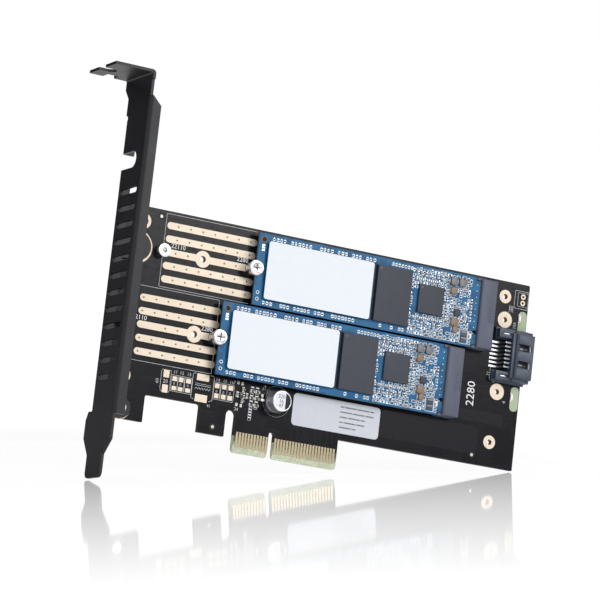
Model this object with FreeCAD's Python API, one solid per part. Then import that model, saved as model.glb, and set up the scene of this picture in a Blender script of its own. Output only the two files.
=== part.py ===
"""Expansion card that carries two M.2 solid-state modules, with a full-height vented bracket.

The card stands upright. X runs along the board away from the bracket, Y runs from the
component side through to the solder side, and Z is up. The origin is the middle of the key
notch of the edge connector: on the lower edge of the tongue and halfway through the board.
Places on the board are given as x and z, and "rise" is the height above the component face.
All sizes are millimetres.
"""
import FreeCAD, Part
import math
import os

# ---------------------------------------------------------------- overall
MODULE_WIDTH = 22.0
LOWER_MODULE_BOTTOM = 21.75
MODULE_GAP = 0.66
BOARD_TOP_MARGIN = 1.34          # board above the upper module

# ---------------------------------------------------------------- board
BOARD_THICKNESS = 1.6
BOARD_LENGTH = 142.3
BOARD_LEFT = -57.9
BOARD_RIGHT = BOARD_LEFT + BOARD_LENGTH
BOARD_TOP = LOWER_MODULE_BOTTOM + 2 * MODULE_WIDTH + MODULE_GAP + BOARD_TOP_MARGIN
BOARD_CORNER = 0.6
RIGHT_EDGE_BOTTOM = 9.3          # lower edge to the right of the tongue
TAB_BOTTOM = 4.2                 # lower edge of the two tabs to the left of the tongue
BRACKET_TAB_WIDTH = 15.0         # the board tab that takes the lower bracket screw
BRACKET_TAB_RIGHT = BOARD_LEFT + BRACKET_TAB_WIDTH
CUTOUT_TOP = 12.4
CUTOUT_CORNER = 0.8
COPPER = 0.05                    # plating that stands on the board

# ---------------------------------------------------------------- edge connector
CONTACT_PITCH = 1.0
CONTACT_WIDTH = 0.7
CONTACTS_BEFORE_KEY = 11
CONTACTS_AFTER_KEY = 21
KEY_WIDTH = 1.9
KEY_DEPTH = 8.0
KEY_TO_CONTACT = 0.55            # notch wall to the centre line of the nearest contact
END_CONTACT_MARGIN = 1.1         # centre line of an end contact to the side of the tongue
TONGUE_LEFT = -KEY_WIDTH / 2 - KEY_TO_CONTACT - (CONTACTS_BEFORE_KEY - 1) * CONTACT_PITCH - END_CONTACT_MARGIN
TONGUE_RIGHT = KEY_WIDTH / 2 + KEY_TO_CONTACT + (CONTACTS_AFTER_KEY - 1) * CONTACT_PITCH + END_CONTACT_MARGIN
SIDE_SLOT_WIDTH = 3.3
MIDDLE_TAB_WIDTH = 8.7
MIDDLE_TAB_RIGHT = TONGUE_LEFT - SIDE_SLOT_WIDTH
MIDDLE_TAB_LEFT = MIDDLE_TAB_RIGHT - MIDDLE_TAB_WIDTH
CONTACT_BOTTOM = 1.7
CONTACT_TOP = 6.3
BEVEL_DEPTH = 0.45
BEVEL_HEIGHT = 1.5
TONGUE_CORNER = 0.5

# ---------------------------------------------------------------- bracket
SHEET = 0.86
BEND_RADIUS = 0.4                # inside radius of every fold
BRACKET_GAP = 0.94               # end of the board to the inner face
BRACKET_X = BOARD_LEFT - BRACKET_GAP - SHEET
BRACKET_BOTTOM = -15.2
BRACKET_HEIGHT = 120.02
BRACKET_TOP = BRACKET_BOTTOM + BRACKET_HEIGHT
BRACKET_FAR = -2.67              # rise of the edge behind the board
BRACKET_NEAR = 15.75             # rise of the outside of the near lip
BRACKET_TAB_DEPTH = 12.2         # the folded top, measured from the outer face
LIP_DEPTH = 3.7
NEAR_LIP_BOTTOM = 3.2
NEAR_LIP_TOP = BRACKET_TOP - 7.52
FAR_LIP_BOTTOM = 4.6
FAR_LIP_TOP = BRACKET_TOP - 13.32
HEAD_STEP_DROPS = (2.4, 3.6, 5.4)    # below the fold: the head's far edge leaves, turns and ends
HEAD_STEP_TURN = 1.1             # how far the edge has come in where it turns
RELIEF_DEPTH = 1.2               # nick in the far edge above the far lip
RELIEF_TOP = 1.7
RELIEF_FLOOR = 1.0
HEAD_RIM = 1.5                   # full width under the fold, on the near side
HEAD_NEAR_STEP = 0.5
SHOULDER_HEIGHT = 4.2            # narrowing below the wide foot
TONGUE_WIDTH = 10.19
TONGUE_FAR = 1.1                 # rise of the far edge of the bracket's tongue
TONGUE_ROUND = 1.8
FOOT_TOP = 2.2
FOOT_BOTTOM = -4.2
FOOT_FAR_LIFT = 0.9              # the far side narrows a little higher than the near side
FOOT_FAR_STEP = 1.4
NOTCH_HEIGHT = 5.0
NOTCH_CENTRE = BOARD_TOP + 11.15
NOTCH_TIP = 10.5
VENT_COUNT = 12
VENT_PITCH = 5.0
VENT_HEIGHT = 1.8
VENT_FIRST = 69.4
VENT_FAR = 1.95
VENT_NEAR = 13.45
SCREW_SLOT_WIDTH = 4.42
SCREW_SLOT_DEPTH = 4.6
SCREW_SLOT_RISE = 6.2
RECESS_LEFT = BRACKET_X - 7.9    # the recess in the far edge of the folded top
RECESS_LENGTH = 3.6
RECESS_DEPTH = 3.6

CROSS_ARM_SHARE = 0.3            # arm width of a screw's cross over its half length

# tabs of the bracket that are screwed to the board: x, z and radius of the round end
MOUNT_TABS = ((-51.3, 55.4, 4.3), (-50.6, 7.3, 3.1))
MOUNT_PAD_RIMS = (0.75, 0.3)     # how far each pad shows round its tab
MOUNT_HOLE_RADIUS = 1.6
TAB_THREAD_RADIUS = 1.5
SCREW_SHANK_RADIUS = 1.48
SCREW_HEAD_RADIUS = 2.75
SCREW_HEAD_HEIGHT = 1.9
SCREW_TIP = 0.5                  # how far the shank passes its tab
SCREW_CROSS_SHARE = 0.6          # half length of the cross over the radius of the head
SCREW_CROSS_DEPTH = 1.1
SPARE_HOLES = ((-50.0, 63.3), (-50.8, 17.0))
SPARE_HOLE_RADIUS = 1.5
SPARE_PAD_RADIUS = 2.4

# ---------------------------------------------------------------- M.2 modules and sockets
MODULE_LENGTH = 80.0
MODULE_THICKNESS = 0.8
MODULE_STEP = 1.075              # the connector end is narrower by this on each side
MODULE_STEP_LENGTH = 3.6
MODULE_KEY_OFFSET = 6.125        # M key, from the centre line
MODULE_KEY_WIDTH = 1.2
MODULE_KEY_DEPTH = 3.5
MODULE_NOTCH_RADIUS = 1.75
STANDOFF_HEIGHT = 2.45
STANDOFF_RADIUS = 2.0
STANDOFF_THREAD_RADIUS = 0.8
STANDOFF_FLOOR = 0.3             # closed end of the thread
LONG_MODULE = 110.0
# left end and lower edge of each module
MODULE_PLACES = {
    "upper": (-13.16, LOWER_MODULE_BOTTOM + MODULE_WIDTH + MODULE_GAP),
    "lower": (-22.54, LOWER_MODULE_BOTTOM),
}
M2_SCREW_HEAD_RADIUS = 2.4
M2_SCREW_HEAD_HEIGHT = 1.05
M2_SCREW_SHANK_RADIUS = 0.78
M2_SCREW_REACH = 1.4             # how far the shank goes into its standoff
M2_SCREW_CROSS_SHARE = 0.5
M2_SCREW_CROSS_DEPTH = 0.6

SOCKET_GRIP = 2.0                # how much of the module is inside its socket
SOCKET_MOUTH = MODULE_LENGTH - SOCKET_GRIP
SOCKET_DEPTH = 5.6
SOCKET_WIDTH = MODULE_WIDTH - 0.5
SOCKET_ROOF = 1.05               # above the module
SOCKET_HEIGHT = STANDOFF_HEIGHT + MODULE_THICKNESS + SOCKET_ROOF
SOCKET_SEAT = 0.15               # the contact tails raise the housing by this
SOCKET_SLOT_CLEARANCE = 0.06
SOCKET_EAR_LENGTH = 1.35
SOCKET_EAR_WIDTH = 0.85
SOCKET_EAR_ROOT = 1.0            # how far the ears run back into the body
SOCKET_EAR_HEIGHT = STANDOFF_HEIGHT + MODULE_THICKNESS + 0.05
SOCKET_CHAMFER = 0.35
TAIL_PITCH = 0.5
TAIL_LENGTH = 1.8
TAIL_WIDTH = 0.25
TAIL_OVERHANG = 0.2
TAIL_ROW_MARGIN = 4.0            # housing width that the row of tails leaves free
SOCKET_GROOVES = 6
GROOVE_PITCH = 0.9
GROOVE_START = 3.2               # behind the mouth
GROOVE_LENGTH = 1.8
GROOVE_DEPTH = 0.12

# ---------------------------------------------------------------- parts on each module
# places are measured along the module from its screw end, and across it from its lower edge
FLASH_LENGTH = 12.1
FLASH_WIDTH = 17.3
FLASH_HEIGHT = 1.0
FLASH_ACROSS = 2.3
FLASH_ALONG = (4.0, 27.9, 41.0)
CONTROLLER_SIDE = 8.85
CONTROLLER_HEIGHT = 0.9
CONTROLLER_PLACE = (56.0, 7.5)
CHIP_SEAT = 0.1                  # solder balls under each chip
CHIP_BEVEL = 0.08
LABEL_THICKNESS = 0.12
MODULE_LABEL = (3.1, 2.15, 36.3, 17.6)
MODULE_LABEL_CORNER = 0.8
INDUCTOR_PLACES = ((68.0, 19.15), (71.0, 19.15))
INDUCTOR_SIDE = 2.4
INDUCTOR_HEIGHT = 1.2
INDUCTOR_CORNER = 0.35
POLYMER_PLACES = ((68.2, 16.2), (69.4, 6.7), (69.9, 4.4))
POLYMER_SIDES = (2.2, 2.5, 1.9)
POLYMER_HEIGHT = 1.0
POLYMER_CORNER = 0.4
PASSIVE_LENGTH = 1.0
PASSIVE_WIDTH = 0.5
PASSIVE_HEIGHT = 0.4
PASSIVE_ROW = 7
PASSIVE_PITCH = 1.45
PASSIVE_ROW_LEAD = 0.6           # the rows start this far before the controller
PASSIVE_NEAR = 1.5               # the two rows on each side, from the controller's edge
PASSIVE_FAR = 3.3
PASSIVE_COLUMN = 4
PASSIVE_COLUMN_PITCH = 1.9
PASSIVE_BANKS = (73.2, 75.2)

# ---------------------------------------------------------------- heat spreading strips
STRIP_COUNT = 5
STRIP_PITCH = 4.02
STRIP_WIDTH = 2.1
STRIP_UNDERLAP = 1.1             # how far the strips run on under the module
STRIP_LEFT = {"upper": -42.25, "lower": -48.3}
STRIP_RING_X = -29.4
STRIP_RING_RADIUS = 2.5
STRIP_HOLE_RADIUS = 1.0

# ---------------------------------------------------------------- pads at the right-hand end
# distance back from the right-hand edge, z, and radius of the pad round each plated hole
ROUND_PADS = ((8.6, 62.9, 2.1), (7.95, 55.65, 2.55), (8.2, 32.85, 2.55), (9.1, 16.9, 2.1))
ROUND_PAD_HOLE = 0.85
HEADER_BACK = 2.1
HEADER_Z = 62.85
HEADER_PITCH = 2.0
HEADER_PAD_RADIUS = 0.85
HEADER_HOLE_RADIUS = 0.4

# ---------------------------------------------------------------- SATA port
# lengths along the port are distances back from its mouth
SATA_OVERHANG = 0.8              # how far the mouth passes the edge of the board
SATA_MOUTH = BOARD_RIGHT + SATA_OVERHANG
SATA_CENTRE = 44.35
SATA_PINS = 7
SATA_PITCH = 1.27
SATA_PIN_WIDTH = 0.5
SATA_PIN_THICKNESS = 0.25
SATA_BASE = (11.9, 0.3, 17.2, 0.9)           # back, front, width and height
SATA_BASE_OPENING = 1.0                      # free width past the row of tails
SATA_ARM = (11.7, 6.2, 2.75, 2.9)            # back, front, width and height
SATA_ARM_EDGE = 8.0                          # outer side of each arm, from the centre line
SATA_WALL = (7.3, 6.1, 4.1)                  # cross wall behind the shroud: back, front and height
SATA_SHROUD = (6.3, 14.0, 5.3)               # back, width and height
SATA_LEDGE = (6.2, 0.2, 16.0, 3.6)           # back, front, width and height
SATA_SHROUD_BOTTOM = 0.6
SATA_CAVITY = (4.9, 11.4, 1.2, 4.5)          # back, width, floor and roof
SATA_TONGUE = (0.8, 10.2, 1.9, 3.1)          # front, width, underside and top
SATA_TONGUE_ROOT = 0.5                       # the tongue is anchored this far behind the cavity
SATA_WINDOW = (5.9, 2.0, 2.3, 2.65)          # back, front, width and offset
SATA_SLIT = (1.6, 1.0, 1.7)                  # back, front and width
SATA_CHAMFER = 0.5
SATA_TAIL_BACK = 12.6
SATA_TAIL_BEND = 10.0
SATA_RISER_TOP = 9.3
SATA_BLADE_END = 0.4                         # the blades stop this short of the tongue's tip
SATA_HOLD_DOWN = (9.9, 6.9, 0.35, 2.5)       # back, front, thickness and height
SATA_HOLD_CLEARANCE = 0.1
CONTACT_CLEARANCE = 0.03

# ---------------------------------------------------------------- electrolytic capacitor
CAN_X = -0.45
CAN_Z = 17.0
CAN_RADIUS = 3.15
CAN_TOP = 5.5
CAN_BASE_SIDE = 6.6
CAN_BASE_HEIGHT = 0.6
CAN_BASE_CHAMFER = 1.2
CAN_SHOULDER = 0.3
CAN_GROOVE_RISE = 1.5
CAN_GROOVE_DEPTH = 0.3
CAN_GROOVE_HALF = 0.45
LEAD_WIDTH = 0.7
LEAD_GAP = 2.0                   # between the two leads, under the base
LEAD_REACH = 1.2
LEAD_THICKNESS = 0.15

# ---------------------------------------------------------------- small parts and stickers
CHIP_RESISTORS = ((-8.1, 19.0), (-8.1, 17.0), (-8.1, 15.0), (-6.4, 19.0), (-6.4, 17.0), (-6.4, 15.0))
CHIP_CAPACITORS = ((-13.2, 17.4), (-11.3, 19.0), (-11.3, 15.8), (-9.9, 17.4))
CHIP_LENGTH = 1.6
CHIP_WIDTH = 0.8
CHIP_HEIGHT = 0.5
LEDS = ((2.8, 56.8), (2.9, 32.0))                # back from the right-hand edge, and z
LED_SIZE = (0.7, 2.9, 0.6)
BOARD_LABEL = (5.95, 11.3, 30.1, 9.8)
BOARD_LABEL_CORNER = 1.3

FACE_Y = -BOARD_THICKNESS / 2
TOWARD_VIEWER = FreeCAD.Vector(0, -1, 0)
UP = FreeCAD.Vector(0, 0, 1)


# ---------------------------------------------------------------- drawing helpers
def place(x, z, rise=0.0):
    """Point over the board: x along it, z up it, rise out from its component face."""
    return FreeCAD.Vector(x, FACE_Y - rise, z)


def block(x0, x1, z0, z1, rise0, rise1):
    """Rectangular solid between two x, two z and two rises."""
    return Part.makeBox(x1 - x0, rise1 - rise0, z1 - z0, place(x0, z0, rise1))


def disc(x, z, radius, rise0, rise1):
    """Round solid that stands out from the board."""
    return Part.makeCylinder(radius, rise1 - rise0, place(x, z, rise0), TOWARD_VIEWER)


class Outline:
    """Closed outline made of straight runs and arcs in one plane."""

    def __init__(self, plane, u, v):
        """Start at (u, v) of a plane function that turns two numbers into a point."""
        self.plane = plane
        self.start = plane(u, v)
        self.here = self.start
        self.edges = []

    def to(self, *points):
        """Run straight through each (u, v) point."""
        for u, v in points:
            target = self.plane(u, v)
            self.edges.append(Part.makeLine(self.here, target))
            self.here = target
        return self

    def arc(self, middle, end):
        """Run along an arc through the middle point to the end point."""
        target = self.plane(*end)
        self.edges.append(Part.Arc(self.here, self.plane(*middle), target).toShape())
        self.here = target
        return self

    def face(self):
        """Close the outline and return its flat face."""
        if self.here.distanceToPoint(self.start) > 1e-6:
            self.edges.append(Part.makeLine(self.here, self.start))
        return Part.Face(Part.Wire(self.edges))


def raised(face, rise0, rise1):
    """Solid of a face drawn on the component face, between two rises."""
    moved = face.copy()
    moved.translate(FreeCAD.Vector(0, -rise0, 0))
    return moved.extrude(FreeCAD.Vector(0, rise0 - rise1, 0))


def rounded_plate(x, z, length, height, corner, rise0, rise1):
    """Plate with four round corners, from its lower left corner."""
    k = corner * (1 - math.sqrt(0.5))
    right = x + length
    top = z + height
    drawn = Outline(place, x + corner, z)
    drawn.to((right - corner, z)).arc((right - k, z + k), (right, z + corner))
    drawn.to((right, top - corner)).arc((right - k, top - k), (right - corner, top))
    drawn.to((x + corner, top)).arc((x + k, top - k), (x, top - corner))
    drawn.to((x, z + corner)).arc((x + k, z + k), (x + corner, z))
    return raised(drawn.face(), rise0, rise1)


def cut_corner_plate(x, z, side, corner, rise0, rise1):
    """Square plate with four cut corners, from its lower left corner."""
    right = x + side
    top = z + side
    drawn = Outline(place, x + corner, z)
    drawn.to((right - corner, z), (right, z + corner), (right, top - corner), (right - corner, top))
    drawn.to((x + corner, top), (x, top - corner), (x, z + corner))
    return raised(drawn.face(), rise0, rise1)


def fused(solids):
    """One solid from several that touch or overlap."""
    whole = solids[0]
    if len(solids) > 1:
        whole = whole.multiFuse(solids[1:])
    return whole.removeSplitter()


def group(solids):
    """Several separate solids kept in one node."""
    return Part.makeCompound(solids)


def cross_recess(x, z, radius, rise0, rise1):
    """Cutter for the cross in a screw head."""
    arm = radius * CROSS_ARM_SHARE
    across = block(x - radius, x + radius, z - arm / 2, z + arm / 2, rise0, rise1)
    upright = block(x - arm / 2, x + arm / 2, z - radius, z + radius, rise0, rise1)
    return across.fuse(upright)


# ---------------------------------------------------------------- board and its copper
def module_centre(name):
    """Height of the centre line of a module."""
    return MODULE_PLACES[name][1] + MODULE_WIDTH / 2


def standoff_places():
    """Standoffs for the fitted length and for the longest length, one pair a module."""
    places = []
    for name, (left, _) in MODULE_PLACES.items():
        places.append((left, module_centre(name)))
        places.append((left + MODULE_LENGTH - LONG_MODULE, module_centre(name)))
    return places


def board_outline():
    """Outline of the board with its tongue, key notch, tabs and cut-out."""
    key = KEY_WIDTH / 2
    slot = (TONGUE_LEFT - MIDDLE_TAB_RIGHT) / 2
    slot_middle = (TONGUE_LEFT + MIDDLE_TAB_RIGHT) / 2
    corner = CUTOUT_CORNER
    k = corner * (1 - math.sqrt(0.5))
    cut = TONGUE_CORNER
    drawn = Outline(place, BOARD_LEFT, TAB_BOTTOM)
    drawn.to((BRACKET_TAB_RIGHT, TAB_BOTTOM), (BRACKET_TAB_RIGHT, CUTOUT_TOP - corner))
    drawn.arc((BRACKET_TAB_RIGHT + k, CUTOUT_TOP - k), (BRACKET_TAB_RIGHT + corner, CUTOUT_TOP))
    drawn.to((MIDDLE_TAB_LEFT - corner, CUTOUT_TOP))
    drawn.arc((MIDDLE_TAB_LEFT - k, CUTOUT_TOP - k), (MIDDLE_TAB_LEFT, CUTOUT_TOP - corner))
    drawn.to((MIDDLE_TAB_LEFT, TAB_BOTTOM), (MIDDLE_TAB_RIGHT, TAB_BOTTOM))
    drawn.to((MIDDLE_TAB_RIGHT, CUTOUT_TOP - slot))
    drawn.arc((slot_middle, CUTOUT_TOP), (TONGUE_LEFT, CUTOUT_TOP - slot))
    drawn.to((TONGUE_LEFT, cut), (TONGUE_LEFT + cut, 0))
    drawn.to((-key - cut, 0), (-key, cut), (-key, KEY_DEPTH - key))
    drawn.arc((0, KEY_DEPTH), (key, KEY_DEPTH - key))
    drawn.to((key, cut), (key + cut, 0), (TONGUE_RIGHT - cut, 0), (TONGUE_RIGHT, cut))
    drawn.to((TONGUE_RIGHT, RIGHT_EDGE_BOTTOM), (BOARD_RIGHT, RIGHT_EDGE_BOTTOM))
    corner = BOARD_CORNER
    k = corner * (1 - math.sqrt(0.5))
    drawn.to((BOARD_RIGHT, BOARD_TOP - corner))
    drawn.arc((BOARD_RIGHT - k, BOARD_TOP - k), (BOARD_RIGHT - corner, BOARD_TOP))
    drawn.to((BOARD_LEFT + corner, BOARD_TOP))
    drawn.arc((BOARD_LEFT + k, BOARD_TOP - k), (BOARD_LEFT, BOARD_TOP - corner))
    return drawn.face()


def board_holes():
    """Every drilled hole of the board as x, z and radius."""
    holes = [(x, z, MOUNT_HOLE_RADIUS) for x, z, _ in MOUNT_TABS]
    holes += [(x, z, SPARE_HOLE_RADIUS) for x, z in SPARE_HOLES]
    holes += [(BOARD_RIGHT - back, z, ROUND_PAD_HOLE) for back, z, _ in ROUND_PADS]
    holes += [(STRIP_RING_X, module_centre(name), STRIP_HOLE_RADIUS) for name in MODULE_PLACES]
    holes += [(x, z, HEADER_HOLE_RADIUS) for x, z in header_places()]
    return holes


def edge_bevel(side):
    """Wedge that bevels one face of the tongue; side is -1 for the component face."""
    outer = side * BOARD_THICKNESS / 2
    inner = outer - side * BEVEL_DEPTH
    past = outer + side * BEVEL_DEPTH
    corners = [
        FreeCAD.Vector(TONGUE_LEFT - 1, inner, -1e-3),
        FreeCAD.Vector(TONGUE_LEFT - 1, past, -1e-3),
        FreeCAD.Vector(TONGUE_LEFT - 1, outer, BEVEL_HEIGHT),
    ]
    wedge = Part.Face(Part.makePolygon(corners + corners[:1]))
    return wedge.extrude(FreeCAD.Vector(TONGUE_RIGHT - TONGUE_LEFT + 2, 0, 0))


def make_board():
    """Glass-fibre board: one piece with its tongue, notches and drilled holes."""
    board = raised(board_outline(), -BOARD_THICKNESS, 0)
    cutters = [disc(x, z, r, -BOARD_THICKNESS - 1, 1) for x, z, r in board_holes()]
    cutters += [edge_bevel(-1), edge_bevel(1)]
    return board.cut(group(cutters))


def contact_centres():
    """Centre lines of the edge contacts, before and after the key notch."""
    first = KEY_WIDTH / 2 + KEY_TO_CONTACT
    before = [-first - i * CONTACT_PITCH for i in range(CONTACTS_BEFORE_KEY)]
    after = [first + i * CONTACT_PITCH for i in range(CONTACTS_AFTER_KEY)]
    return before[::-1] + after


def make_edge_contacts():
    """Gold contacts on both faces of the tongue."""
    contacts = []
    for x in contact_centres():
        left = x - CONTACT_WIDTH / 2
        right = x + CONTACT_WIDTH / 2
        contacts.append(block(left, right, CONTACT_BOTTOM, CONTACT_TOP, 0, COPPER))
        back = -BOARD_THICKNESS
        contacts.append(block(left, right, CONTACT_BOTTOM, CONTACT_TOP, back - COPPER, back))
    return group(contacts)


def make_heat_strips(name):
    """Gold strips behind a module, the middle one with a ring round a plated hole."""
    left = STRIP_LEFT[name]
    right = MODULE_PLACES[name][0] + STRIP_UNDERLAP
    centre = module_centre(name)
    strips = []
    for i in range(STRIP_COUNT):
        z = centre + (i - (STRIP_COUNT - 1) / 2) * STRIP_PITCH
        low = z - STRIP_WIDTH / 2
        corner = STRIP_WIDTH / 2 - 0.01
        strip = rounded_plate(left, low, right - left, STRIP_WIDTH, corner, 0, COPPER)
        if i == STRIP_COUNT // 2:
            strip = strip.fuse(disc(STRIP_RING_X, z, STRIP_RING_RADIUS, 0, COPPER))
            strip = strip.cut(disc(STRIP_RING_X, z, STRIP_HOLE_RADIUS, -1, 1))
            for x, standoff_z in standoff_places():
                strip = strip.cut(disc(x, standoff_z, STANDOFF_RADIUS + COPPER, -1, 1))
        strips += strip.removeSplitter().Solids
    return group(strips)


def ring_pad(x, z, radius, hole):
    """Flat plated ring on the component face."""
    return disc(x, z, radius, 0, COPPER).cut(disc(x, z, hole, -1, 1))


def header_places():
    """The two holes of the unfitted header."""
    x = BOARD_RIGHT - HEADER_BACK
    return [(x, HEADER_Z + side * HEADER_PITCH / 2) for side in (-1, 1)]


def make_plated_pads():
    """Ring pads round the plated holes at the right-hand end."""
    pads = [ring_pad(BOARD_RIGHT - back, z, radius, ROUND_PAD_HOLE) for back, z, radius in ROUND_PADS]
    pads += [ring_pad(x, z, HEADER_PAD_RADIUS, HEADER_HOLE_RADIUS) for x, z in header_places()]
    return group(pads)


def make_mounting_pads():
    """Ring pads under the bracket tabs and round the spare bracket holes."""
    pads = []
    for (x, z, radius), rim in zip(MOUNT_TABS, MOUNT_PAD_RIMS):
        pads.append(ring_pad(x, z, radius + rim, MOUNT_HOLE_RADIUS))
    for x, z in SPARE_HOLES:
        pad = ring_pad(x, z, SPARE_PAD_RADIUS, SPARE_HOLE_RADIUS)
        for other in pads[:len(MOUNT_TABS)]:
            pad = pad.cut(other)
        pads.append(pad)
    return group(pads)


# ---------------------------------------------------------------- bracket
def on_bracket(rise, z):
    """Point on the outer face of the bracket."""
    return FreeCAD.Vector(BRACKET_X, FACE_Y - rise, z)


def bracket_face():
    """Flat face of the bracket, with the wide foot, the narrow tongue and the far steps."""
    fold = SHEET + BEND_RADIUS
    lip_seat = COPPER
    top = BRACKET_TOP - fold
    leave, turn, end = HEAD_STEP_DROPS
    near = BRACKET_NEAR
    narrow = near - HEAD_NEAR_STEP
    far = BRACKET_FAR
    tongue_near = TONGUE_FAR + TONGUE_WIDTH
    low = BRACKET_BOTTOM
    k = TONGUE_ROUND * (1 - math.sqrt(0.5))
    taper = FOOT_BOTTOM - SHOULDER_HEIGHT
    drawn = Outline(on_bracket, far, top)
    drawn.to((far, top - leave), (far + HEAD_STEP_TURN, top - turn), (lip_seat, top - end))
    drawn.to((lip_seat, FAR_LIP_TOP + RELIEF_TOP), (lip_seat + RELIEF_DEPTH, FAR_LIP_TOP + RELIEF_FLOOR))
    drawn.to((lip_seat + fold, FAR_LIP_TOP), (lip_seat + fold, FAR_LIP_BOTTOM))
    drawn.to((lip_seat - FOOT_FAR_STEP, FAR_LIP_BOTTOM), (far, FOOT_TOP), (far, FOOT_BOTTOM + FOOT_FAR_LIFT))
    drawn.to((TONGUE_FAR, taper), (TONGUE_FAR, low + TONGUE_ROUND))
    drawn.arc((TONGUE_FAR + k, low + k), (TONGUE_FAR + TONGUE_ROUND, low))
    drawn.to((tongue_near - TONGUE_ROUND, low))
    drawn.arc((tongue_near - k, low + k), (tongue_near, low + TONGUE_ROUND))
    drawn.to((tongue_near, taper), (near, FOOT_BOTTOM), (near, NEAR_LIP_BOTTOM))
    drawn.to((near - fold, NEAR_LIP_BOTTOM), (near - fold, NEAR_LIP_TOP))
    drawn.to((narrow, NEAR_LIP_TOP), (narrow, top - HEAD_RIM), (near, top - HEAD_RIM), (near, top))
    return drawn.face().extrude(FreeCAD.Vector(SHEET, 0, 0))


def folded_lip(edge_rise, inward, bottom, top, depth):
    """Lip folded from the face along its full length.

    edge_rise is the outside of the lip and inward is the sign of the way to the face.
    """
    outer = SHEET + BEND_RADIUS
    half = math.sqrt(0.5)

    def plane(x, rise):
        return FreeCAD.Vector(BRACKET_X + x, FACE_Y - edge_rise - inward * rise, bottom)

    drawn = Outline(plane, 0, outer)
    drawn.arc((outer * (1 - half), outer * (1 - half)), (outer, 0))
    drawn.to((depth, 0), (depth, SHEET), (outer, SHEET))
    drawn.arc((outer - BEND_RADIUS * half, outer - BEND_RADIUS * half), (SHEET, outer))
    return drawn.face().extrude(FreeCAD.Vector(0, 0, top - bottom))


def near_lip():
    """Lip at the near edge, with its top corner cut at 45 degrees."""
    lip = folded_lip(BRACKET_NEAR, -1, NEAR_LIP_BOTTOM, NEAR_LIP_TOP, LIP_DEPTH)
    low = NEAR_LIP_TOP - LIP_DEPTH + SHEET
    corners = [
        FreeCAD.Vector(BRACKET_X + SHEET, FACE_Y, NEAR_LIP_TOP),
        FreeCAD.Vector(BRACKET_X + LIP_DEPTH, FACE_Y, low),
        FreeCAD.Vector(BRACKET_X + LIP_DEPTH, FACE_Y, NEAR_LIP_TOP),
    ]
    wedge = Part.Face(Part.makePolygon(corners + corners[:1]))
    return lip.cut(wedge.extrude(FreeCAD.Vector(0, -2 * BRACKET_NEAR, 0)))


def folded_top():
    """Top of the bracket, folded outward, with its screw slot and its far recess."""
    outer = SHEET + BEND_RADIUS
    half = math.sqrt(0.5)
    top = BRACKET_TOP
    inside = BRACKET_X + SHEET

    def plane(x, z):
        return FreeCAD.Vector(x, FACE_Y - BRACKET_FAR, z)

    drawn = Outline(plane, inside, top - outer)
    drawn.arc((inside - outer * (1 - half), top - outer * (1 - half)), (inside - outer, top))
    drawn.to((BRACKET_X - BRACKET_TAB_DEPTH, top), (BRACKET_X - BRACKET_TAB_DEPTH, top - SHEET))
    drawn.to((inside - outer, top - SHEET))
    drawn.arc(
        (inside - outer + BEND_RADIUS * half, top - outer + BEND_RADIUS * half),
        (BRACKET_X, top - outer),
    )
    width = BRACKET_NEAR - BRACKET_FAR
    folded = drawn.face().extrude(FreeCAD.Vector(0, -width, 0))
    below = top - SHEET - 1
    outer_x = BRACKET_X - BRACKET_TAB_DEPTH
    radius = SCREW_SLOT_WIDTH / 2
    end_x = outer_x + SCREW_SLOT_DEPTH - radius
    low_rise = SCREW_SLOT_RISE - radius
    high_rise = SCREW_SLOT_RISE + radius
    slot = block(outer_x - 1, end_x, below, top + 1, low_rise, high_rise)
    slot_end = Part.makeCylinder(radius, SHEET + 2, place(end_x, below, SCREW_SLOT_RISE), UP)
    recess_right = RECESS_LEFT + RECESS_LENGTH
    recess = block(RECESS_LEFT, recess_right, below, top + 1, BRACKET_FAR - 1, BRACKET_FAR + RECESS_DEPTH)
    return folded.cut(group([slot, slot_end, recess]))


def mounting_tab(x, z, radius):
    """Flat tab that reaches from the far lip over the board, with a round end and a thread."""
    left = BRACKET_X + LIP_DEPTH - SHEET
    low = COPPER
    high = COPPER + SHEET
    body = block(left, x, z - radius, z + radius, low, high)
    tab = body.fuse(disc(x, z, radius, low, high))
    return tab.cut(disc(x, z, TAB_THREAD_RADIUS, -1, high + 1))


def vent(z):
    """Cutter for one vent slot with round ends."""
    radius = VENT_HEIGHT / 2
    along = FreeCAD.Vector(1, 0, 0)
    start = BRACKET_X - 1
    middle = Part.makeBox(
        SHEET + 2, VENT_NEAR - VENT_FAR - 2 * radius, VENT_HEIGHT,
        FreeCAD.Vector(start, FACE_Y - VENT_NEAR + radius, z - radius),
    )
    ends = [
        Part.makeCylinder(radius, SHEET + 2, FreeCAD.Vector(start, FACE_Y - rise, z), along)
        for rise in (VENT_FAR + radius, VENT_NEAR - radius)
    ]
    return middle.multiFuse(ends)


def side_notch():
    """Cutter for the round-ended notch in the far edge and its lip."""
    radius = NOTCH_HEIGHT / 2
    bottom = NOTCH_CENTRE - radius
    depth = LIP_DEPTH + 2
    start = BRACKET_X - 1
    body = Part.makeBox(
        depth, NOTCH_TIP - radius - BRACKET_FAR, NOTCH_HEIGHT,
        FreeCAD.Vector(start, FACE_Y - NOTCH_TIP + radius, bottom),
    )
    end = Part.makeCylinder(
        radius, depth, FreeCAD.Vector(start, FACE_Y - NOTCH_TIP + radius, NOTCH_CENTRE),
        FreeCAD.Vector(1, 0, 0),
    )
    return body.fuse(end)


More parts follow.
